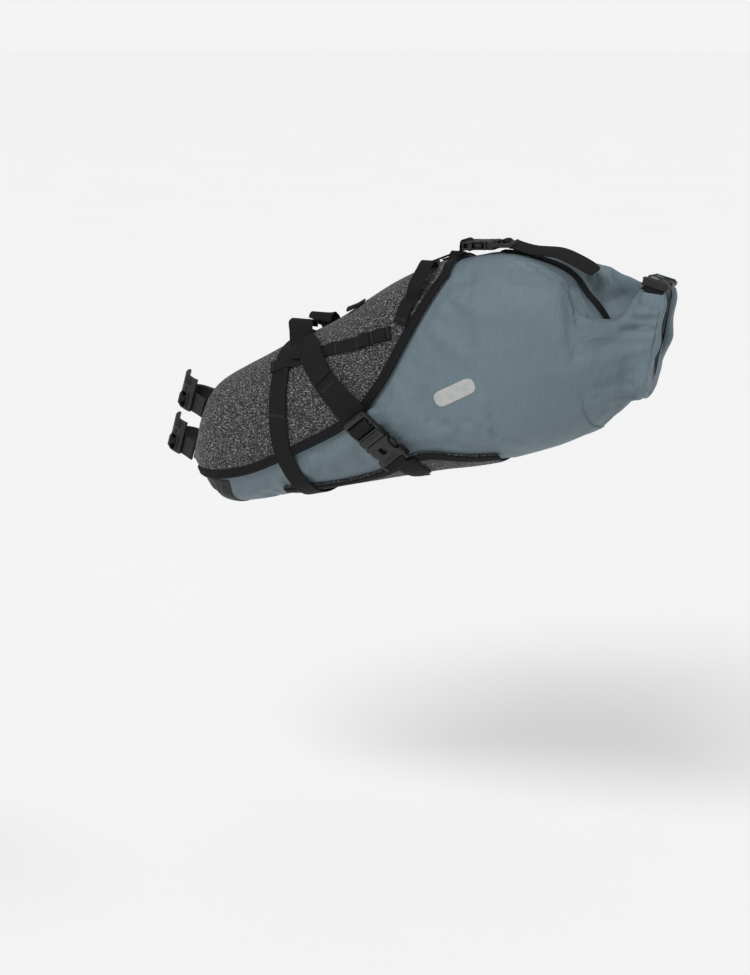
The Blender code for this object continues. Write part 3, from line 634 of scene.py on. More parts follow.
def seam(skin, route, lift, pitch=0.0034, length=0.0025, shift=0.0):
    """Stitch spots at an even pitch along a route that lies on the skin."""
    places = resampled([p for p, _, _ in spline(route, 0.002)],
                       max(2, round(sum((b - a).length for a, b in zip(route, route[1:])) / pitch)))
    spots = []
    for before, after in zip(places, places[1:]):
        along = (after - before).normalized()
        middle = (before + after) / 2
        across = along.cross(skin.on(middle, 0)[1]).normalized()
        centre, normal = skin.on(middle + across * shift, lift)
        along = (along - normal * along.dot(normal)).normalized()
        spots.append((centre, along, normal, length))
    return spots


def bartack(skin, centre, along, width, lift, rows=5):
    """Spots of a bartack: a dense bar of stitches across webbing."""
    spot, normal = skin.on(centre, lift)
    along = (along - normal * along.dot(normal)).normalized()
    across = along.cross(normal).normalized()
    spots = []
    pieces, sewn = max(2, round(width / 0.003)), width * 0.86
    for k in range(rows):
        place = spot + along * (k - (rows - 1) / 2) * 0.0006
        for j in range(pieces):
            placed, facing = skin.on(place + across * (((j + 0.5) / pieces - 0.5) * sewn), lift)
            spots.append((placed, (across - facing * across.dot(facing)).normalized(), facing, sewn / pieces))
    return spots


def box_stitch(skin, centre, along, length, width, lift):
    """Spots of a sewn box with a cross in it."""
    spot, normal = skin.on(centre, lift)
    along = (along - normal * along.dot(normal)).normalized()
    across = along.cross(normal).normalized()
    corners = [spot + along * a * length / 2 + across * b * width / 2
               for a, b in ((-1, -1), (1, -1), (1, 1), (-1, 1))]
    lines = [(corners[k], corners[(k + 1) % 4]) for k in range(4)]
    lines += [(corners[0], corners[2]), (corners[1], corners[3])]
    return [one for line in lines for one in seam(skin, line, lift, 0.0028, 0.0021)]


# ---------------------------------------------------------------- dry bag

def holster_reach(x, z):
    """How far, in metres, a side point lies outside the holster and the belly panel."""
    edge_x, edge_z = zip(*HOLSTER_EDGE)
    rim_x, rim_z = zip(*HOLSTER_RIM)
    belly_x, belly_z = zip(*BELLY_EDGE)
    behind_rim = x - np.interp(z, rim_z, rim_x, left=-1.0)
    under_edge = np.interp(x, edge_x, edge_z, right=1.0) - z
    clear = np.where(z > HOLSTER_RIM[0][1], behind_rim, np.maximum(under_edge, x - FLANK_END_X))
    above_belly = z - np.interp(x, belly_x, belly_z)
    along_belly = (x > BELLY_EDGE[0][0]) & (x < BELLY_EDGE[-1][0])
    return np.where(along_belly, np.minimum(clear, above_belly), clear)


def fold(x, z, start, end, width, height):
    """A soft ridge between two side points, highest at its start and gone at its end."""
    start, end = np.array(start), np.array(end)
    along = end - start
    share = ((x - start[0]) * along[0] + (z - start[1]) * along[1]) / (along @ along)
    away = np.hypot(x - start[0] - share * along[0], z - start[1] - share * along[1])
    fade = ease(1.15 - share) * ease((share + 0.12) * 6)
    return height * np.exp(-(away / (width * (0.55 + 0.75 * np.clip(share, 0, 1)))) ** 2) * fade


# Folds of the side fabric: start and end as (x, z), width and height.
SIDE_FOLDS = (
    ((0.296, 0.172), (0.352, 0.148), 0.008, 0.0022),
    ((0.300, 0.160), (0.345, 0.110), 0.009, -0.0020),
    ((0.310, 0.181), (0.378, 0.172), 0.006, 0.0018),
    ((0.286, 0.140), (0.330, 0.090), 0.008, 0.0014),
    ((0.262, 0.012), (0.330, 0.040), 0.009, 0.0020),
    ((0.272, 0.010), (0.350, 0.022), 0.007, -0.0016),
    ((0.256, 0.030), (0.300, 0.075), 0.008, 0.0014),
    ((0.385, 0.022), (0.345, 0.055), 0.010, -0.0014),
    ((0.484, 0.150), (0.420, 0.128), 0.007, 0.0030),
    ((0.486, 0.138), (0.404, 0.104), 0.008, -0.0028),
    ((0.486, 0.118), (0.398, 0.090), 0.008, 0.0026),
    ((0.484, 0.100), (0.410, 0.062), 0.007, -0.0022),
    ((0.480, 0.084), (0.412, 0.046), 0.007, 0.0022),
    ((0.452, 0.158), (0.392, 0.132), 0.009, -0.0026),
    ((0.424, 0.176), (0.372, 0.140), 0.010, 0.0026),
    ((0.404, 0.186), (0.352, 0.160), 0.009, -0.0018),
    ((0.076, -0.052), (0.128, -0.030), 0.006, 0.0012),
    ((0.160, -0.012), (0.206, 0.006), 0.006, 0.0016),
    ((0.158, -0.026), (0.214, -0.012), 0.005, -0.0012),
)


def settled_fabric(points, normals):
    """How far the stuffed fabric stands out from the smooth skin: bulges, folds and slack."""
    x, y, z = np.moveaxis(points, -1, 0)
    reach = holster_reach(x, z)
    bare = ease((reach - 0.004) / 0.016)
    side = ease(np.abs(normals[..., 1]) * 1.6 - 0.25)
    swell = 0.0022 * ease(reach / 0.030) * ease(1.4 - reach / 0.11)
    folds = sum(fold(x, z, *each) for each in SIDE_FOLDS)
    drift = np.array([[noise.noise(Vector(p) * 17) * 1.4 + 0.5 * noise.noise(Vector(p) * 42)
                       + 0.9 * (0.3 - abs(noise.noise(Vector((p[0] * 26, p[1] * 16, p[2] * 34)))))
                       for p in row] for row in points]) * 0.0011
    to_roll = ease((x - 0.425) / 0.05)
    pleats = 0.0011 * np.sin(z * 330 + 3 * np.sin(z * 90)) * to_roll * side
    inside = ease((x - 0.40) / 0.05) * (1 - side)
    puckers = 0.0009 * np.sin(y * 300 + x * 120) * inside
    return bare * (side * (swell + folds) + drift * (0.6 + side) + pleats + puckers)


# The cloth simulation: its grid, its frames, the furthest a point may move, and the solver's settings.
SIM_ROWS, SIM_COLUMNS, SIM_FRAMES = 84, 72, 20
SWELL_CAP = 0.0035
CLOTH = {"quality": 6, "mass": 0.15, "tension_stiffness": 20, "compression_stiffness": 6,
         "shear_stiffness": 8,
         "bending_stiffness": 0.25, "shrink_min": -0.016, "use_pressure": True, "uniform_pressure_force": 3.0}


def pressed_out():
    """A cloth simulation of the filled bag: how far each point of a coarse copy moves out, in metres."""
    points = skin_grid(SIM_ROWS, SIM_COLUMNS, FABRIC_STATIONS)[0]
    mesh = outward(mesh_of("bag_copy", points.reshape(-1, 3), tube_faces(SIM_ROWS, SIM_COLUMNS)))
    bag = bpy.data.objects.new("bag_copy", mesh)
    bpy.context.scene.collection.objects.link(bag)
    x, y, z = np.moveaxis(points, -1, 0)
    loose = ease((holster_reach(x, z) - 0.002) / 0.012) * (1 - ease((x - 0.435) / 0.030))
    strapped = (1 - ease((np.abs(y) - 0.009) / 0.012)) * ease((z - 0.080) / 0.020)
    loose *= 1 - strapped
    held = bag.vertex_groups.new(name="held")
    for k, share in enumerate(1 - loose.ravel()):
        held.add([k], float(share), "REPLACE")
    cloth = bag.modifiers.new("cloth", "CLOTH")
    for setting, value in CLOTH.items():
        setattr(cloth.settings, setting, value)
    cloth.settings.vertex_group_mass = held.name
    cloth.settings.effector_weights.gravity = 0.25
    scene = bpy.context.scene
    for frame in range(1, SIM_FRAMES + 1):
        scene.frame_set(frame)
    settled = bag.evaluated_get(bpy.context.evaluated_depsgraph_get()).data
    found = np.empty(len(settled.vertices) * 3, np.float32)
    settled.vertices.foreach_get("co", found)
    bpy.data.objects.remove(bag)
    scene.frame_set(1)
    moved = (found.reshape(points.shape) - points) * loose[..., None]
    far = np.linalg.norm(moved, axis=-1, keepdims=True)
    return moved * np.minimum(1, SWELL_CAP / np.maximum(far, 1e-9))


def stretched(coarse, rows, columns):
    """A coarse grid of vectors, rows nose to tail and columns round the bag, on a finer grid."""
    for axis, count, wrap in ((0, rows, False), (1, columns, True)):
        size = coarse.shape[axis]
        place = np.arange(count) * (size / count if wrap else (size - 1) / (count - 1))
        low = np.minimum(place.astype(int), size - 1)
        share = (place - low)[(...,) + (None,) * (2 - axis)]
        share = 0.5 - 0.5 * np.cos(pi * share)
        after = (low + 1) % size if wrap else np.minimum(low + 1, size - 1)
        coarse = np.take(coarse, low, axis) * (1 - share) + np.take(coarse, after, axis) * share
    return coarse


def lean_ears(points):
    """Above a crease on each side of the tail, the fabric leans in to the ears of the folded mouth."""
    x, y, z = np.moveaxis(points, -1, 0)
    above = z - np.interp(x, (0.436, 0.500), (0.1430, 0.1575))
    near = ease((x - 0.428) / 0.022) * ease(np.abs(y) / 0.016)
    lean = 0.26 * np.maximum(above, 0) - 0.0010 * np.exp(-((above - 0.003) / 0.0030) ** 2)
    groove = 0.0011 * np.exp(-((above + 0.001) / 0.0016) ** 2)
    points[..., 1] -= np.sign(y) * near * (lean + groove)


def bag_body(paint):
    """The stuffed roll-top bag, from its nose to the fabric gathered round the rolled mouth."""
    rows, columns = 300, 260
    points, normals = skin_grid(rows, columns, FABRIC_STATIONS)
    pressed = stretched(pressed_out(), rows, columns)
    points = points + normals * settled_fabric(points, normals)[..., None] + pressed
    lean_ears(points)

    # The nose and the tail close with rows that draw in towards their middle.
    ahead = -Vector((0.066, 0, -0.020)).normalized()
    nose = [points[0].mean(0) + (points[0] - points[0].mean(0)) * share + np.array(ahead) * out
            for share, out in ((0.985, 0.0006), (0.94, 0.0010), (0.86, 0.0011), (0.6, 0.0011), (0.3, 0.0011),
                               (0.02, 0.0011))]
    angle = 2 * pi * np.arange(columns) / columns
    inner = skin_points(np.ones(columns), angle, FABRIC_STATIONS)
    middle = (inner + inner[-np.arange(columns) % columns] * (1, -1, 1)) / 2
    tail = [points[-1] * (1 - share) + (middle * (1, 0, 1) + points[-1] * (0, 0.8, 0)) * share
            for share in (0.15, 0.5)]
    points = np.concatenate([np.array(nose[::-1]), points, np.array(tail)])

    steps = np.linalg.norm(np.diff(points, axis=0), axis=-1).mean(1)
    along = np.concatenate([[0], np.cumsum(steps)])
    girth = np.linspace(0, GIRTH, columns + 1)[:-1]
    uvs = np.stack(np.broadcast_arrays(along[:, None], np.minimum(girth, GIRTH - girth)), -1)
    mesh = outward(mesh_of("bag_body", points.reshape(-1, 3), tube_faces(len(points), columns),
                           uvs.reshape(-1, 2)))
    body = add_piece("bag_body", mesh, paint, "dry_bag", ["dry_bag"])
    return body


def nose_patch(skin, fabric, paint):
    """The tough patch sewn round the nose's lower corner."""
    rows, columns = 40, 90
    edge = resampled([skin.left(x, z) for x, z in PATCH_EDGE], rows)
    grid = []
    for i in range(rows + 1):
        low = Vector(skin_points(np.array(0.03 + 0.205 * i / rows), np.array(pi)))
        grid.append(both_sides(half_arch(skin, edge[i], low, columns // 2)))
    mesh = cloth_panel(fabric, "toe_patch", grid, 0.0002, 0.0009)
    add_piece("toe_patch", mesh, paint, "dry_bag", ["nose_patch"])


def half_arch(skin, left, crown, count):
    """count + 1 skin points from a side point to the crown of the bag, or to its keel."""
    fine = []
    steps = 60
    for k in range(steps + 1):
        bend = pi / 2 * k / steps
        x = left.x + (crown.x - left.x) * k / steps
        y = left.y * cos(bend) * (1 + 0.25 * sin(2 * bend))
        z = left.z + (crown.z - left.z) * sin(bend)
        fine.append(skin.on(Vector((x, y, z)), 0)[0])
    found = resampled(fine, count)
    found[-1].y = 0.0
    return found


# ---------------------------------------------------------------- holster

def edge_route(skin, edge, spacing=0.002):
    return [p for p, _, _ in spline([skin.left(x, z) for x, z in edge], spacing)]


def over_crown(skin, start, steps=8):
    crown = skin.top(RIM_TOP_X, 0)
    return [skin.on(start.lerp(crown, k / steps), 0)[0] for k in range(steps + 1)]


def holster_cover(skin, paint):
    """The felt cover over the top and flanks, with its front panel behind the seatpost."""
    rows, columns = 96, 140
    crowding = 1.5
    edge = resampled(edge_route(skin, HOLSTER_EDGE), rows, crowding)
    rim = edge_route(skin, HOLSTER_RIM)
    rim = rim[:-1] + over_crown(skin, rim[-1])
    half = columns // 2
    crown = skin.top(RIM_TOP_X, 0)
    bow = [r - s for r, s in zip(resampled(rim, half), half_arch(skin, edge[-1], crown, half))]
    grid = []
    for i in range(rows + 1):
        share = (i / rows) ** crowding
        top = skin.top(NOSE_TOP_X + (RIM_TOP_X - NOSE_TOP_X) * share, 0)
        left = [p + b * share**3 for p, b in zip(half_arch(skin, edge[i], top, half), bow)]
        left[-1].y = 0.0
        grid.append(both_sides(left))
    mesh = cloth_panel(skin, "holster_cover", grid, SHELL_LIFT, SHELL_THICK, ripple=0.0007)
    add_piece("holster_cover", mesh, paint, "holster", ["holster_shell"])
    return grid


def holster_front(grid, paint):
    """The felt panel between the bag's nose and the seatpost pad."""
    low, high = Vector((0.011, 0, -0.034)), Vector((0.031, 0, 0.032))
    ahead = Vector((high.x - low.x, 0, high.z - low.z)).normalized().cross(Vector((0, 1, 0)))
    ahead = ahead if ahead.x < 0 else -ahead
    hub = (low + high) / 2
    arch = [p.copy() for p in grid[0]]
    arch += [arch[-1].lerp(arch[0], k / 30) for k in range(1, 30)]
    rings = []
    for share, out in ((1.07, 0.0002), (1.075, 0.0016), (1.05, 0.0028), (1.0, 0.0031), (0.97, 0.0030),
                       (0.9, 0.0022), (0.82, 0.0012), (0.6, 0.0012), (0.3, 0.0012), (0.02, 0.0012)):
        ring = []
        for p in arch:
            flat = p - ahead * (p - hub).dot(ahead)
            mixed = flat.lerp(p, smooth((share - 0.8) / 0.2))
            ring.append(hub + (mixed - hub) * share + ahead * out)
        rings.append(ring)
    rings += [[p - ahead * 0.0009 for p in ring] for ring in reversed(rings)]
    count = len(arch)
    faces = grid_faces(len(rings), count, wrap=True)
    faces += [((len(rings) - 1) * count + j, (len(rings) - 1) * count + (j + 1) % count,
               (j + 1) % count, j) for j in range(count)]
    points = [p for ring in rings for p in ring]
    mesh = outward(mesh_of("holster_front", points, faces, [(p.z, p.y) for p in points]))
    add_piece("holster_front", mesh, paint, "holster")


def belly_cover(skin, paint):
    rows, columns = 60, 90
    edge = resampled(edge_route(skin, BELLY_EDGE), rows)
    grid = []
    for i in range(rows + 1):
        low = skin.below(0.124 + 0.222 * i / rows, 0)
        grid.append(both_sides(half_arch(skin, edge[i], low, columns // 2)))
    mesh = cloth_panel(skin, "belly_cover", grid, SHELL_LIFT, SHELL_THICK, ripple=0.0006)
    add_piece("belly_cover", mesh, paint, "holster", ["belly_panel"])


# Binding tape, as (across, height) points: a domed fold that wraps the felt's edge at negative across.
BINDING_PROFILE = ((-0.0052, 0.0006), (-0.0058, 0.0018), (-0.0056, 0.0033), (-0.0046, 0.0044),
                   (-0.0030, 0.0048), (-0.0010, 0.0046), (0.0012, 0.0045), (0.0030, 0.0044),
                   (0.0038, 0.0039), (0.0040, 0.0033), (0.0036, 0.0031), (0.0, 0.0031), (-0.0035, 0.0031),
                   (-0.0042, 0.0022), (-0.0044, 0.0006))


def bindings(skin, tape, thread):
    """Tape folded over the edges of the holster and of the belly panel, and its stitching."""
    inset = BINDING_WIDTH / 2 - 0.0012
    rim = edge_route(skin, HOLSTER_RIM, 0.006)
    left = edge_route(skin, HOLSTER_EDGE, 0.006)[:-1] + rim + over_crown(skin, rim[-1], 6)[1:-1]
    route = left + [skin.top(RIM_TOP_X, 0)] + flipped(reversed(left))
    add_band(skin, "rim_binding", [(p, 0.0) for p in route], BINDING_PROFILE, tape, "holster",
             ["holster_binding"], "binding_tape", spacing=0.0022, shift=-inset)
    spots = seam(skin, route, 0.0047, shift=-BINDING_WIDTH / 2 + 0.0032)
    for side, sign in SIDES:
        route = edge_route(skin, BELLY_EDGE, 0.006)
        route = flipped(route) if sign > 0 else route
        profile = [(sign * across, height) for across, height in BINDING_PROFILE]
        add_band(skin, f"belly_edge_{side}", [(p, 0.0) for p in route], profile, tape, "holster",
                 [f"belly_binding_{side}"], "binding_tape", spacing=0.0022, shift=-sign * inset)
        spots += seam(skin, route, 0.0047, shift=-sign * (BINDING_WIDTH / 2 - 0.0032))
    add_stitches("binding_stitches", spots, thread, "holster")


def girth_band(skin, webbing):
    """The webbing that goes down one flank of the holster, under the bag and up the other."""
    left = skin.laid(((0.131, 0.094), (0.130, 0.065), (0.131, 0.025), (0.133, 0.0), (0.139, -0.022),
                      (0.145, -0.040)),
                     FIRST_LIFT, FIRST_LIFT, FIRST_LIFT, 0.0046, 0.0036, 0.0046)
    left.append((skin.on(Vector((0.150, -0.030, -0.060)), 0)[0], FIRST_LIFT))
    keel = [(skin.on(Vector((0.151, 0, -0.062)), 0)[0], FIRST_LIFT)]
    add_band(skin, "girth_band", left + keel + sided(left[::-1], 1), band_profile(GIRTH_WIDTH, WEBBING_THICK),
             webbing, "holster", ["girth_webbing"])
    return [spot for _, sign in SIDES for x, z in ((0.1315, 0.088), (0.1305, 0.030), (0.1305, 0.072))
            for spot in bartack(skin, skin.side(sign, x, z), Vector((0, 0, 1)), GIRTH_WIDTH,
                                FIRST_LIFT + WEBBING_THICK)]


def rail_bands(skin, webbing):
    """Sewn to the top, up and over the saddle's rail, then down the flank to the side buckle."""
    spots = []
    sewn = SECOND_LIFT + WEBBING_THICK
    for side, sign in SIDES:
        route = [(Vector((x, y, RAIL_Z + up)), None) for x, y, up in (
            (0.136, -0.0150, -0.0040), (0.137, -0.0150, 0.0005), (0.137, -0.0185, 0.0055),
            (0.137, -0.0255, 0.0055), (0.139, -0.0305, 0.0015))]
        route.append((skin.top(0.146, -0.040), THIRD_LIFT))
        route += skin.laid(((0.160, 0.093), (0.182, 0.071), (0.208, 0.045), (0.226, 0.030)),
                           THIRD_LIFT, SECOND_LIFT, SECOND_LIFT, SECOND_LIFT)
        add_band(skin, f"rail_band_{side}", sided(route, sign), band_profile(RAIL_WIDTH, WEBBING_THICK),
                 webbing, "holster", [f"rail_strap_{side}"])
        down = Vector((0.7, 0, -0.7))
        spots += bartack(skin, skin.side(sign, 0.178, 0.075), down, RAIL_WIDTH, sewn, 6)
        spots += box_stitch(skin, skin.side(sign, 0.171, 0.082), down, 0.011, 0.019, sewn + 0.0002)
        # The strap's doubled and sewn end lies on its upper part.
        route = skin.laid(((0.163, 0.090), (0.172, 0.081), (0.183, 0.070)), sewn)
        add_band(skin, f"rail_band_fold_{side}", sided(route, sign), band_profile(RAIL_WIDTH - 0.001, 0.0011),
                 webbing)
    return spots


def daisy_bands(skin, webbing):
    """Narrow webbing sewn down in steps, which leaves loops for a light."""
    sewn = 0.0040
    ends = ((0.118, 0.070), (0.136, 0.078), (0.150, 0.083), (0.180, 0.095), (0.211, 0.105), (0.252, 0.120))
    tacks = ((0.121, 0.0715, SECOND_LIFT), (0.192, 0.0985, sewn), (0.216, 0.107, sewn), (0.232, 0.1125, sewn),
             (0.249, 0.119, sewn))
    loops = (((0.218, 0.1077), (0.224, 0.110), (0.230, 0.112)),
             ((0.234, 0.1133), (0.240, 0.1157), (0.247, 0.118)))
    spots = []
    for side, sign in SIDES:
        route = skin.laid(ends, SECOND_LIFT, SECOND_LIFT, FIRST_LIFT, sewn, sewn, sewn)
        add_band(skin, f"daisy_band_{side}", sided(route, sign), band_profile(DAISY_WIDTH, 0.0012, 6),
                 webbing, "holster", [f"daisy_webbing_{side}"])
        for x, z, lift in tacks:
            spots += bartack(skin, skin.side(sign, x, z), Vector((0.93, 0, 0.36)), DAISY_WIDTH, lift + 0.0012,
                             4)
        for k, loop in enumerate(loops):
            add_band(skin, f"daisy_loop_{k}_{side}", sided(skin.laid(loop, 0.0052, 0.0078, 0.0052), sign),
                     band_profile(DAISY_WIDTH * 0.96, 0.0011, 6), webbing, spacing=0.001)
    return spots


def lash_loops(skin, webbing):
    """Lashing loops that stand up at the holster's shoulders."""
    spots = []
    for side, sign in SIDES:
        route = skin.laid(((0.262, 0.128), (0.266, 0.145)), SECOND_LIFT)
        route += [(Vector(p), None) for p in ((0.272, -0.0575, 0.165), (0.276, -0.049, 0.179),
                                              (0.276, -0.036, 0.185))]
        route += [(skin.top(0.276, y), FIRST_LIFT) for y in (-0.025, -0.017)]
        add_band(skin, f"lash_loop_{side}", sided(route, sign), band_profile(LOOP_WIDTH, WEBBING_THICK, 6),
                 webbing, "holster", [f"rim_loop_{side}"])
        spots += bartack(skin, skin.side(sign, 0.2625, 0.132), Vector((0.2, 0, 1)), LOOP_WIDTH,
                         SECOND_LIFT + WEBBING_THICK)
    return spots


def crown_tabs(skin, webbing):
    """Short pull tabs folded double and sewn along the holster's upper edge."""
    spot = skin.on(skin.left(0.200, 0.134), 0.0032)[0]
    hang = [(spot + Vector((x, 0, z)), lift) for x, z, lift in (
        (0.004, 0.007, 0.0034), (0, 0, 0.0036), (-0.003, -0.007, 0.0050), (-0.005, -0.012, 0.0062))]
    for side, sign in SIDES:
        add_band(skin, f"crown_tab_{side}", sided(hang, sign), band_profile(0.012, 0.0020, 6), webbing,
                 spacing=0.001)


def buckle_tabs(skin, webbing):
    """The tabs of the belly panel that the side buckles' sockets hang on."""
    spots = []
    for side, sign in SIDES:
        route = skin.laid(((0.276, -0.030), (0.268, -0.016), (0.259, -0.001)), FIRST_LIFT)
        add_band(skin, f"buckle_tab_{side}", sided(route, sign), band_profile(RAIL_WIDTH, WEBBING_THICK),
                 webbing, "holster", [f"belly_tab_{side}"])
        spots += bartack(skin, skin.side(sign, 0.272, -0.022), Vector((-0.5, 0, 0.85)), RAIL_WIDTH,
                         FIRST_LIFT + WEBBING_THICK)
    return spots


# ---------------------------------------------------------------- buckles

def rounded(corners, radius, steps=4):
    """An outline with its corners rounded, as (x, y) points."""
    found = []
    count = len(corners)
    for k in range(count):
        before, corner, after = (Vector(corners[(k + d) % count]) for d in (-1, 0, 1))
        into = (before - corner).normalized()
        out = (after - corner).normalized()
        cut = min(radius, (before - corner).length * 0.45, (after - corner).length * 0.45)
        start, end = corner + into * cut, corner + out * cut
        for step in range(steps + 1):
            f = step / steps
            found.append(start * (1 - f) ** 2 + corner * 2 * f * (1 - f) + end * f * f)
    return found


def plate(outlines, low, high, edge):
    """A flat plate with rounded edges, as a bmesh. The first outline is its rim, the rest are holes."""
    curve = bpy.data.curves.new("plate", "CURVE")
    curve.dimensions = "2D"
    curve.fill_mode = "BOTH"
    curve.extrude = max((high - low) / 2 - edge, 0.00005)
    curve.bevel_depth = edge
    curve.bevel_resolution = 1
    curve.offset = -edge
    for outline in outlines:
        line = curve.splines.new("POLY")
        line.points.add(len(outline) - 1)
        line.points.foreach_set("co", [c for p in outline for c in (p[0], p[1], 0.0, 1.0)])
        line.use_cyclic_u = True
    helper = bpy.data.objects.new("plate", curve)
    bpy.context.scene.collection.objects.link(helper)
    bpy.context.view_layer.update()
    mesh = bpy.data.meshes.new_from_object(helper.evaluated_get(bpy.context.evaluated_depsgraph_get()))
    bpy.data.objects.remove(helper)
    bpy.data.curves.remove(curve)
    shape = bmesh.new()
    shape.from_mesh(mesh)
    bpy.data.meshes.remove(mesh)
    bmesh.ops.translate(shape, vec=(0, 0, (low + high) / 2), verts=shape.verts)
    bmesh.ops.remove_doubles(shape, verts=shape.verts, dist=1e-6)
    bmesh.ops.recalc_face_normals(shape, faces=shape.faces)
    return shape


def joined(name, shapes, frame, scale=(1, 1, 1), crown=0.0):
    """The shapes as one mesh, scaled, slightly crowned and placed by a frame."""
    half_width, half_height = DRAWN_BUCKLE[0] / 2, 0.004
    whole = bmesh.new()
    for shape in shapes:
        part = bpy.data.meshes.new("part")
        shape.to_mesh(part)
        shape.free()
        whole.from_mesh(part)
        bpy.data.meshes.remove(part)
    for vertex in whole.verts:
        x, y, z = vertex.co
        z += crown * (1 - min(1, (y / half_width) ** 2)) * (1 if z > 0 else -1) * min(1, abs(z) / half_height)
        vertex.co = frame @ Vector((x * scale[0], y * scale[1], z * scale[2]))
    if frame.determinant() < 0:
        bmesh.ops.reverse_faces(whole, faces=whole.faces)
    mesh = bpy.data.meshes.new(name)
    whole.to_mesh(mesh)
    whole.free()
    mesh.shade_smooth()
    mesh.set_sharp_from_angle(angle=radians(42))
    return mesh


def mirror_outline(half, radius):
    """A closed rounded outline from its upper half, mirrored in the x axis."""
    return rounded(list(half) + [(x, -y) for x, y in reversed(half)], radius)


def box(left, right, half, radius, steps=4):
    """A rounded rectangle from left to right, of this half height."""
    return rounded([(left, -half), (right, -half), (right, half), (left, half)], radius, steps)


def slot_outline(x, width, half_height, radius=0.0007):
    return box(x - width / 2, x + width / 2, half_height, radius)


def socket_shapes():
    """The buckle's socket, 31 mm long and wide: two faces over a core, open at both flanks."""
    face = mirror_outline([(0.0003, 0.0142), (0.0040, 0.0146), (0.0062, 0.0118), (0.0158, 0.0112),
                           (0.0190, 0.0152), (0.0290, 0.0155), (0.0310, 0.0140)], 0.0016)
    release = rounded([(0.0072, -0.0036), (0.0140, -0.0036), (0.0152, 0.0), (0.0140, 0.0036),
                       (0.0072, 0.0036)], 0.0010)
    slot = slot_outline(0.0262, 0.0030, 0.0122)
    shapes = [plate([face, slot, release], 0.0022, 0.0045, 0.0005),
              plate([face, slot], -0.0045, -0.0022, 0.0005),
              plate([mirror_outline([(0.0182, 0.0146), (0.0238, 0.0149)], 0.0008)], -0.0026, 0.0026, 0.0002),
              plate([mirror_outline([(0.0284, 0.0150), (0.0306, 0.0135)], 0.0010)], -0.0030, 0.0030, 0.0008)]
    mouth = ((0.0006, 0.0132), (0.0036, 0.0136), (0.0036, 0.0120), (0.0006, 0.0120))
    rail = ((0.0010, 0.0046), (0.0180, 0.0046), (0.0180, 0.0032), (0.0010, 0.0032))
    shapes += [plate([rounded([(x, y * sign) for x, y in wall], 0.0003)], -0.0026, 0.0026, 0.0002)
               for sign in (-1, 1) for wall in (mouth, rail)]
    return shapes + [plate([slot_outline(x, 0.0007, 0.0090, 0.0003)], 0.0043, 0.0048, 0.0002)
                     for x in (0.0198, 0.0212, 0.0226)]


def plug_shapes():
    """The buckle's plug: a ladder for the strap, a shoulder, two sprung prongs and a guide."""
    ladder = mirror_outline([(-0.0312, 0.0118), (-0.0290, 0.0148), (-0.0200, 0.0150),
                             (-0.0060, 0.0143), (-0.0030, 0.0143)], 0.0022)
    holes = [slot_outline(-0.0125, 0.0036, 0.0122), slot_outline(-0.0236, 0.0046, 0.0122)]
    shapes = [plate([ladder, *holes], -0.0022, 0.0024, 0.0007),
              plate([mirror_outline([(-0.0086, 0.0140), (-0.0004, 0.0142)], 0.0012)], -0.0045, 0.0045,
                    0.0009),
              plate([slot_outline(-0.0180, 0.0034, 0.0138, 0.0014)], -0.0010, 0.0038, 0.0010),
              plate([slot_outline(-0.0291, 0.0030, 0.0122, 0.0012)], -0.0010, 0.0040, 0.0010)]
    shapes += [plate([slot_outline(x, 0.0006, 0.0118, 0.0002)], 0.0034, 0.0043, 0.0002)
               for x in (-0.0172, -0.0182, -0.0192)]
    shapes += [plate([slot_outline(x, 0.0007, 0.0095, 0.0003)], 0.0042, 0.0048, 0.0002)
               for x in (-0.0070, -0.0056, -0.0042)]
    prong = ((-0.0020, 0.0112), (0.0052, 0.0108), (0.0066, 0.0148), (0.0110, 0.0156), (0.0150, 0.0142),
             (0.0172, 0.0104), (0.0174, 0.0086), (0.0120, 0.0092), (0.0060, 0.0082), (-0.0020, 0.0082))
    shapes += [plate([rounded([(x, y * sign) for x, y in prong], 0.0011)], -0.0019, 0.0019, 0.0006)
               for sign in (-1, 1)]
    return shapes + [plate([mirror_outline([(-0.0020, 0.0020), (0.0160, 0.0016)], 0.0010)], -0.0018, 0.0018,
                           0.0005)]


def add_buckle(names, replaced, bodies, frame, size, plastic):
    """A socket and a plug of this (width, length, height), scaled from the drawn buckle."""
    scale = (size[1] / DRAWN_BUCKLE[1], size[0] / DRAWN_BUCKLE[0], size[2] / DRAWN_BUCKLE[2])
    for name, node, body, shapes in zip(names, replaced, bodies, (socket_shapes(), plug_shapes())):
        mesh = joined(name, shapes, frame, scale, crown=0.0004)
        add_piece(name, mesh, plastic, body, [node])


def frame_at(origin, ahead, up):
    """A frame with its x along ahead and its z close to up."""
    x = Vector(ahead).normalized()
    y = Vector(up).cross(x).normalized()
    return Matrix.Translation(origin) @ Matrix((x, y, x.cross(y))).transposed().to_4x4()


# Webbing threaded through a buckle, as (x, z) places in the buckle's frame before scaling.
PLUG_THREAD = ((-0.0345, -0.0036), (-0.0275, -0.0036), (-0.0246, -0.0018), (-0.0228, 0.0026),
               (-0.0205, 0.0044), (-0.0180, 0.0047), (-0.0152, 0.0042), (-0.0132, 0.0020),
               (-0.0118, -0.0020), (-0.0090, -0.0040))
SOCKET_THREAD = ((0.0225, -0.0058), (0.0248, -0.0052), (0.0262, -0.0010), (0.0268, 0.0040),
                 (0.0292, 0.0054), (0.0320, 0.0048), (0.0334, 0.0010), (0.0340, -0.0050))


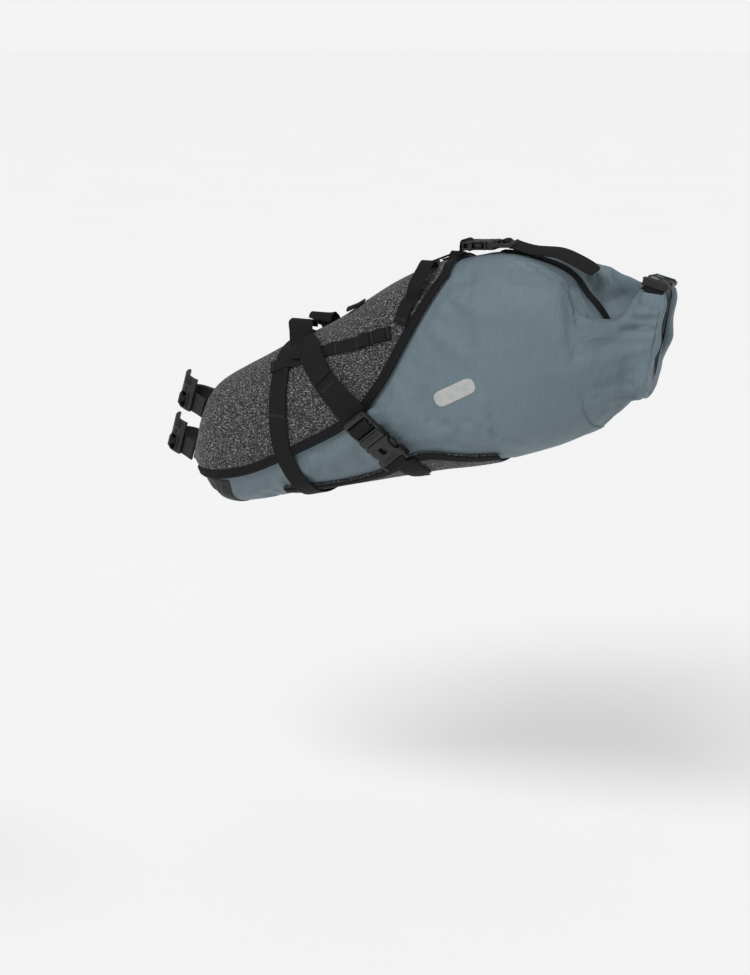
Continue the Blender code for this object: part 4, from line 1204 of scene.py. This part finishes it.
def thread_buckle(skin, name, path, frame, size, body, webbing):
    """The webbing that passes through the bars of a buckle's plug or socket."""
    route = [(frame @ Vector((x * size[1] / DRAWN_BUCKLE[1], 0, z * size[2] / DRAWN_BUCKLE[2])), None)
             for x, z in path]
    add_band(skin, name, route, band_profile(size[0] * 0.74, 0.0011, 6), webbing, body, spacing=0.001,
             free_across=tuple(frame.to_3x3() @ Vector((0, 1, 0))))


def side_buckles(skin, plastic, webbing):
    """The side buckles with the webbing threaded through them, and the strap tails on their plugs."""
    spots = {}
    mirror = Matrix.Diagonal((1, -1, 1, 1))
    origin = skin.left(0.240, 0.0225)
    normal = skin.on(origin, 0)[1]
    ahead = skin.left(0.262, -0.003) - skin.left(0.230, 0.033)
    origin = origin + normal * (THIRD_LIFT + 0.0052)
    frame = frame_at(origin, ahead, normal)
    for side, sign in SIDES:
        placed = frame if sign < 0 else mirror @ frame
        plug = f"side_plug_{side}"
        add_buckle((f"side_clip_socket_{side}", f"side_clip_plug_{side}"),
                   (f"side_buckle_socket_{side}", f"side_buckle_plug_{side}"),
                   ("holster", plug), placed, SIDE_BUCKLE, plastic)
        thread_buckle(skin, f"side_plug_thread_{side}", PLUG_THREAD, placed, SIDE_BUCKLE, plug, webbing)
        thread_buckle(skin, f"side_socket_thread_{side}", SOCKET_THREAD, placed, SIDE_BUCKLE, "holster",
                      webbing)
        route = [(origin - ahead.normalized() * 0.0305, THIRD_LIFT + 0.0020)]
        route += skin.laid(((0.2065, 0.0540), (0.1970, 0.0610), (0.1870, 0.0690)), THIRD_LIFT)
        add_band(skin, f"side_tail_{side}", sided(route, sign), band_profile(RAIL_WIDTH - 0.002, 0.0012),
                 webbing, plug, [f"side_strap_tail_{side}"])
        spots[side] = bartack(skin, skin.side(sign, 0.190, 0.065), Vector((-0.7, 0, 0.7)), RAIL_WIDTH - 0.003,
                              THIRD_LIFT + 0.0012, 4)
    return spots


def top_buckle(skin, plastic, webbing):
    """The buckle on the crown, its strap from the holster and the load strap's tail."""
    seat = skin.top(0.324, 0)
    frame = frame_at(seat + Vector((0, 0, 0.0086)), Vector((-1, 0, -0.06)), (0, 0, 1))
    add_buckle(("top_clip_socket", "top_clip_plug"), ("top_buckle_socket", "top_buckle_plug"),
               ("holster", "top_plug"), frame, TOP_BUCKLE, plastic)
    thread_buckle(skin, "top_plug_thread", PLUG_THREAD, frame, TOP_BUCKLE, "top_plug", webbing)
    thread_buckle(skin, "top_socket_thread", SOCKET_THREAD, frame, TOP_BUCKLE, "holster", webbing)
    front = [(skin.top(x, 0), lift) for x, lift in ((0.262, FIRST_LIFT), (0.276, FIRST_LIFT + 0.0006),
                                                    (0.290, SECOND_LIFT), (0.2985, SECOND_LIFT + 0.0008))]
    add_band(skin, "top_band", front, band_profile(TOP_WIDTH, WEBBING_THICK), webbing, "holster",
             ["top_strap"])

    start = seat + Vector((0.0235, 0, 0.0092))
    tail = [(Vector(p), None) for p in (start, (0.366, 0, start.z - 0.0042), (0.392, -0.001, 0.1945),
                                        (0.412, -0.002, 0.1875), (0.428, -0.003, 0.1795))]
    add_band(skin, "load_tail", tail, band_profile(TOP_WIDTH, 0.0018, crown=0.0004), webbing, "top_plug",
             ["load_strap_tail"], spacing=0.001, free_across=(0, 1, 0.26), wide=tail_width)
    return bartack(skin, skin.top(0.268, 0), Vector((1, 0, 0)), TOP_WIDTH,
                   FIRST_LIFT + WEBBING_THICK + 0.0002, 6)


def tail_width(run):
    """The load strap's tail widens to its doubled end, which is rounded."""
    length = 0.086
    wide = 1 + 0.30 * smooth(run / 0.07)
    left = max(length - run, 0.0)
    return wide * (1 - (1 - min(left / 0.011, 1)) ** 2) ** 0.5 * 0.75 + wide * 0.25


# ---------------------------------------------------------------- rolled mouth

def load_band(skin, fabric, webbing):
    """The strap that runs back along the crown, into the valley and down to the rolled mouth."""
    route = [(fabric.top(x, 0) + Vector((0, 0, 0.0012)), None)
             for x in (0.336, 0.352, 0.368, 0.384, 0.398, 0.410, 0.420, 0.430, 0.438, 0.446, 0.454, 0.462)]
    add_band(skin, "load_band", route, band_profile(LOAD_WIDTH + 0.001, WEBBING_THICK, 6), webbing, "dry_bag",
             ["load_strap"], free_across=(0, 1, 0))


def roll_path():
    """Places down the left arm of the hairpin, round its bend and up the right arm."""
    steps, bends = 14, 16
    ups = [ROLL_LEAN * (ROLL_BEND + (ROLL_TALL - ROLL_BEND) * k / steps) for k in range(steps + 1)]
    arms = [[ROLL_FOOT + Vector((0, sign * ROLL_ARM, 0)) + up for up in ups] for sign in (-1, 1)]
    bend = []
    for k in range(1, bends):
        turn = pi * k / bends
        place = ROLL_FOOT + Vector((0, -ROLL_ARM * cos(turn), 0))
        bend.append(place + ROLL_LEAN * (ROLL_BEND - ROLL_BEND * sin(turn)))
    return arms[0][::-1] + bend + arms[1]


def rolled_mouth(paint):
    """The mouth rolled flat: a spiral of fabric, plumped between its creases."""
    path = [p for p, _, _ in spline(roll_path(), 0.0022)]
    outward_side = ROLL_LEAN.cross(Vector((0, 1, 0))).normalized()
    outward_side = outward_side if outward_side.x > 0 else -outward_side
    turns, flap = 56, 0.45
    half_deep, half_thick = 0.0122, 0.0060
    points, uvs, run = [], [], 0.0
    for k, place in enumerate(path):
        ahead = (path[min(k + 1, len(path) - 1)] - path[max(k - 1, 0)]).normalized()
        thick_side = ahead.cross(outward_side).normalized()
        run += (place - path[max(k - 1, 0)]).length
        high = (place - ROLL_FOOT).dot(ROLL_LEAN)
        plump = 0.0016 * sin(high * 150 + 0.9) + 0.0012 * sin(high * 83 + 2.2 + 20 * place.y)
        tip = smooth(min(k, len(path) - 1 - k) / 4)
        for j in range(turns):
            turn = 2 * pi * j / turns
            lap = ((turn - flap) / (2 * pi)) % 1.0
            grow = 1 - 0.10 * lap
            deep = half_deep * grow * np.sign(cos(turn)) * abs(cos(turn)) ** 0.62
            thick = half_thick * grow * np.sign(sin(turn)) * abs(sin(turn)) ** 0.62
            ripple = 0.0007 * noise.noise(Vector((run * 55, turn * 1.3, 2.0))) \
                + 0.0004 * sin(run * 900) * max(0.0, -sin(turn)) * smooth((0.03 - high) / 0.02)
            deep = deep * (0.93 + 0.07 * tip) + (plump if cos(turn) > 0 else 0) * abs(cos(turn))
            if deep > 0:
                deep *= np.interp(high, (0.0, 0.018, 0.030, 0.050), (0.15, 0.42, 0.68, 1.0))
            thick = thick * (0.85 + 0.15 * tip) + ripple * np.sign(thick)
            points.append(place + outward_side * deep + thick_side * thick)
            uvs.append((turn * half_thick, run))
    mesh = outward(mesh_of("rolled_mouth", points, tube_faces(len(path), turns), uvs))
    add_piece("rolled_mouth", mesh, paint, "dry_bag", ["rolled_closure"])


def closure(skin, webbing, plastic):
    """The clip that holds the hairpin's two tips together, and the webbing that it hangs on."""
    top = ROLL_FOOT + ROLL_LEAN * ROLL_TALL
    tilt = Matrix.Rotation(radians(14), 4, "Y")
    frame = frame_at(top + ROLL_LEAN * 0.0072, Vector((0, -1, 0)), tilt @ Vector((0, 0, 1)))
    add_buckle(("mouth_clip_socket", "mouth_clip_plug"), ("closure_socket", "closure_plug"),
               ("dry_bag", "closure_plug"), frame, MOUTH_BUCKLE, plastic)
    for side, sign in SIDES:
        route = [(frame @ Vector((-sign * out, 0, high)), None)
                 for out, high in ((0.0230, -0.0064), (0.0214, -0.0056), (0.0185, -0.0053),
                                   (0.0150, -0.0053))]
        add_band(skin, f"mouth_webbing_{side}", route, band_profile(0.0200, 0.0013, 6), webbing, "dry_bag",
                 [f"closure_stub_{side}"], spacing=0.001,
                 free_across=tuple(frame.to_3x3() @ Vector((0, 1, 0))))


# ---------------------------------------------------------------- seatpost straps

def post_frame(height):
    """At the post's axis: x rearward, y right, z up along the post."""
    along = Vector((sin(POST_LEAN), 0, cos(POST_LEAN)))
    return frame_at(along * height, Vector((cos(POST_LEAN), 0, -sin(POST_LEAN))), along)


def arc(radius, start, end, count):
    return [(radius * cos(radians(a)), radius * sin(radians(a))) for a in np.linspace(start, end, count)]


def rubber_strip(name, path, low, high, thickness, frame, wave=0.0):
    """A moulded strip standing on edge along an x-y path, with rounded edges and moulded ribs."""
    path = [p for p, _, _ in spline([(x, y, 0) for x, y in path], 0.0012)]
    soft = thickness * 0.35
    edge = 6
    marks = np.linspace(low + soft, high - soft, 25)
    points, uvs, run = [], [], 0.0
    for k, place in enumerate(path):
        ahead = (path[min(k + 1, len(path) - 1)] - path[max(k - 1, 0)]).normalized()
        out = Vector((ahead.y, -ahead.x, 0))
        if out.dot(Vector((place.x, place.y, 0))) < 0:
            out = -out
        run += (place - path[max(k - 1, 0)]).length
        rib = wave * max(0.0, sin(run * 2 * pi / 0.0034))
        ring = [(z, 0.0) for z in marks]
        ring += [(high - soft + soft * sin(pi * j / edge), thickness * (1 - cos(pi * j / edge)) / 2)
                 for j in range(1, edge)]
        ring += [(z, thickness + rib) for z in marks[::-1]]
        ring += [(low + soft - soft * sin(pi * j / edge), thickness * (1 + cos(pi * j / edge)) / 2)
                 for j in range(1, edge)]
        points += [frame @ (place + out * deep + Vector((0, 0, z))) for z, deep in ring]
        uvs += [(run, z) for z, _ in ring]
    return outward(mesh_of(name, points, tube_faces(len(path), len(points) // len(path)), uvs))


def post_strap(level, height, rubber):
    """One rubber post strap: a far band, a near band with a hook, and the plate hooked over it."""
    frame = post_frame(height)
    inner, thick, half = POST_RADIUS + 0.0008, 0.0035, 0.010
    for word, sign, end, count in (("far", 1, 172, 9), ("near", -1, 150, 8)):
        path = [(0.0165, 0.0200 * sign), (0.008, 0.0165 * sign)] + arc(inner, 90 * sign, end * sign, count)
        mesh = rubber_strip(f"{word}_band_{level}", path, -half, half, thick - 0.0004, frame, 0.0004)
        add_piece(mesh.name, mesh, rubber, "holster", [f"post_band_{word}_{level}"])

    turn = radians(-122)
    out = Vector((cos(turn), sin(turn), 0))
    leaning = Vector((cos(turn - HOOK_LEAN), sin(turn - HOOK_LEAN), 0))
    hook_frame = frame @ frame_at(out * (inner + thick + 0.0002), leaning, (0, 0, 1))
    stem = rounded([(-0.0006, -0.0014), (0.0050, -0.0014), (0.0074, -0.0018), (0.0074, 0.0018),
                    (0.0050, 0.0014), (-0.0006, 0.0014)], 0.0008)
    shapes = [plate([stem], -0.0034, 0.0034, 0.0006),
              plate([box(0.0040, 0.0076, 0.0017, 0.0015)], -0.0060, 0.0060, 0.0009)]
    mesh = joined(f"hook_{level}", shapes, hook_frame)
    add_piece(f"hook_{level}", mesh, rubber, "holster", [f"post_hook_{level}"])

    radius = inner + thick + 0.0004
    mesh = rubber_strip(f"plate_{level}", arc(radius, 180, 272, 12), -half, half + 0.016, 0.0032, frame)
    middle = Vector((cos(turn + radians(3)), sin(turn + radians(3)), 0))
    window_frame = frame @ frame_at(middle * (radius - 0.004), (0, 0, 1), middle)
    body = bpy.data.objects.new("plate_body", mesh)
    bpy.context.scene.collection.objects.link(body)
    holes = [box(-0.0078, 0.0078, 0.0058, 0.0052, 8), box(0.0108, 0.0140, 0.0016, 0.0016, 6)]
    for hole in holes:
        cutter = bpy.data.objects.new(
            "cutter", joined("cutter", [plate([hole], -0.002, 0.014, 0.0001)], window_frame))
        bpy.context.scene.collection.objects.link(cutter)
        cut = body.modifiers.new("cut", "BOOLEAN")
        cut.object = cutter
    bpy.context.view_layer.update()
    graph = bpy.context.evaluated_depsgraph_get()
    pierced = bmesh.new()
    pierced.from_mesh(bpy.data.meshes.new_from_object(body.evaluated_get(graph)))
    for cut in body.modifiers:
        bpy.data.objects.remove(cut.object)
    bpy.data.objects.remove(body)
    mesh = joined(f"plate_{level}", [pierced], Matrix.Identity(4))
    mesh.set_sharp_from_angle(angle=radians(50))
    add_piece(f"plate_{level}", mesh, rubber, f"post_plate_{level}", [f"post_plate_{level}"])

    rim_frame = frame_at(middle * (radius + 0.0030), (0, 0, 1), middle)
    relief = [plate([box(0.0168 + 0.0028 * k, 0.0180 + 0.0028 * k, 0.0052, 0.0005)], -0.0006, 0.0012, 0.0004)
              for k in range(3)]
    relief.append(plate([box(-0.0094, 0.0094, 0.0072, 0.0064, 8), holes[0]], -0.0012, 0.0008, 0.0003))
    mesh = joined(f"plate_relief_{level}", relief, frame @ rim_frame)
    add_piece(f"plate_relief_{level}", mesh, rubber, f"post_plate_{level}")


def post_pad(rubber):
    """The rubber pad between the nose and the post, with grooves that grip the post."""
    frame = post_frame(0)
    shapes = [plate([box(-0.034, 0.032, 0.018, 0.005)], 0.0, 0.0042, 0.0008)]
    shapes += [plate([slot_outline(-0.030 + 0.0058 * k, 0.0034, 0.0155, 0.0012)], 0.0030, 0.0052, 0.0008)
               for k in range(11)]
    turned = frame @ frame_at(Vector((POST_RADIUS + 0.0062, 0, 0)), (0, 0, 1), (-1, 0, 0))
    mesh = joined("post_pad", shapes, turned)
    add_piece("post_pad", mesh, rubber, "holster", ["seatpost_pad"])


# ---------------------------------------------------------------- small details and assembly

def reflective_marks(fabric, paint):
    """A plain rounded reflector printed on each flank of the dry bag."""
    centre_x, centre_z, tilt = 0.318, 0.071, radians(28)
    length, width, rows, columns = 0.046, 0.015, 12, 44
    for side, sign in SIDES:
        grid = []
        for i in range(rows + 1):
            across = (i / rows - 0.5) * width
            end = (length - width) / 2 + (max(0.0, (width / 2) ** 2 - across ** 2)) ** 0.5
            for j in range(columns + 1):
                along = (j / columns - 0.5) * 2 * end
                x = centre_x + along * cos(tilt) - across * sin(tilt)
                z = centre_z + along * sin(tilt) + across * cos(tilt)
                spot, normal, _, _ = fabric.tree.ray_cast(Vector((x, sign * 0.3, z)), Vector((0, -sign, 0)))
                grid.append((spot, normal if normal.y * sign > 0 else -normal))
        points = [spot + normal * lift for lift in (-0.0002, 0.00028) for spot, normal in grid]
        faces = sheet_faces(rows + 1, columns + 1)
        mesh = outward(mesh_of(f"reflector_{side}", points, faces, [(p.x, p.z) for p in points]))
        add_piece(f"reflector_{side}", mesh, paint, "dry_bag")


def main():
    for obj in list(bpy.data.objects):
        bpy.data.objects.remove(obj)
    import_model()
    add_camera()
    add_studio()
    skin = smooth_skin()

    felt = felt_paint()
    slate = coated_paint("slate_coated_fabric", (0.092, 0.129, 0.149), (0.153, 0.206, 0.231))
    black_coated = coated_paint("black_coated_fabric", (0.008, 0.008, 0.009), (0.018, 0.018, 0.020))
    tape = webbing_paint("binding_tape", 0.0012, 0.0, (0.005, 0.005, 0.006), (0.014, 0.014, 0.015))
    webbing = webbing_paint("webbing", 0.0022, 0.9, (0.004, 0.004, 0.005), (0.017, 0.017, 0.018))
    plastic = moulded_paint("buckle_plastic", (0.008, 0.008, 0.009), (0.016, 0.016, 0.017), 0.34, 0.5, 2400)
    rubber = moulded_paint("strap_rubber", (0.009, 0.009, 0.010), (0.020, 0.020, 0.021), 0.48, 0.7, 1600)
    thread = thread_paint("black_thread", (0.010, 0.010, 0.011), (0.030, 0.030, 0.031))
    reflector = reflective_paint()

    fabric = fabric_skin(bag_body(slate))
    reflective_marks(fabric, reflector)
    nose_patch(skin, fabric, black_coated)
    rolled_mouth(slate)
    load_band(skin, fabric, webbing)
    closure(skin, webbing, plastic)

    grid = holster_cover(skin, felt)
    holster_front(grid, felt)
    belly_cover(skin, felt)
    bindings(skin, tape, thread)
    spots = girth_band(skin, webbing)
    spots += rail_bands(skin, webbing)
    spots += daisy_bands(skin, webbing)
    spots += lash_loops(skin, webbing)
    spots += buckle_tabs(skin, webbing)
    crown_tabs(skin, webbing)
    tail_spots = side_buckles(skin, plastic, webbing)
    spots += top_buckle(skin, plastic, webbing)
    add_stitches("webbing_stitches", spots, thread, "holster")
    for side, _ in SIDES:
        add_stitches(f"side_tail_stitches_{side}", tail_spots[side], thread, f"side_plug_{side}")
    for level, height in (("upper", POST_STRAP_SPACING / 2), ("lower", -POST_STRAP_SPACING / 2)):
        post_strap(level, height, rubber)
    post_pad(rubber)


main()
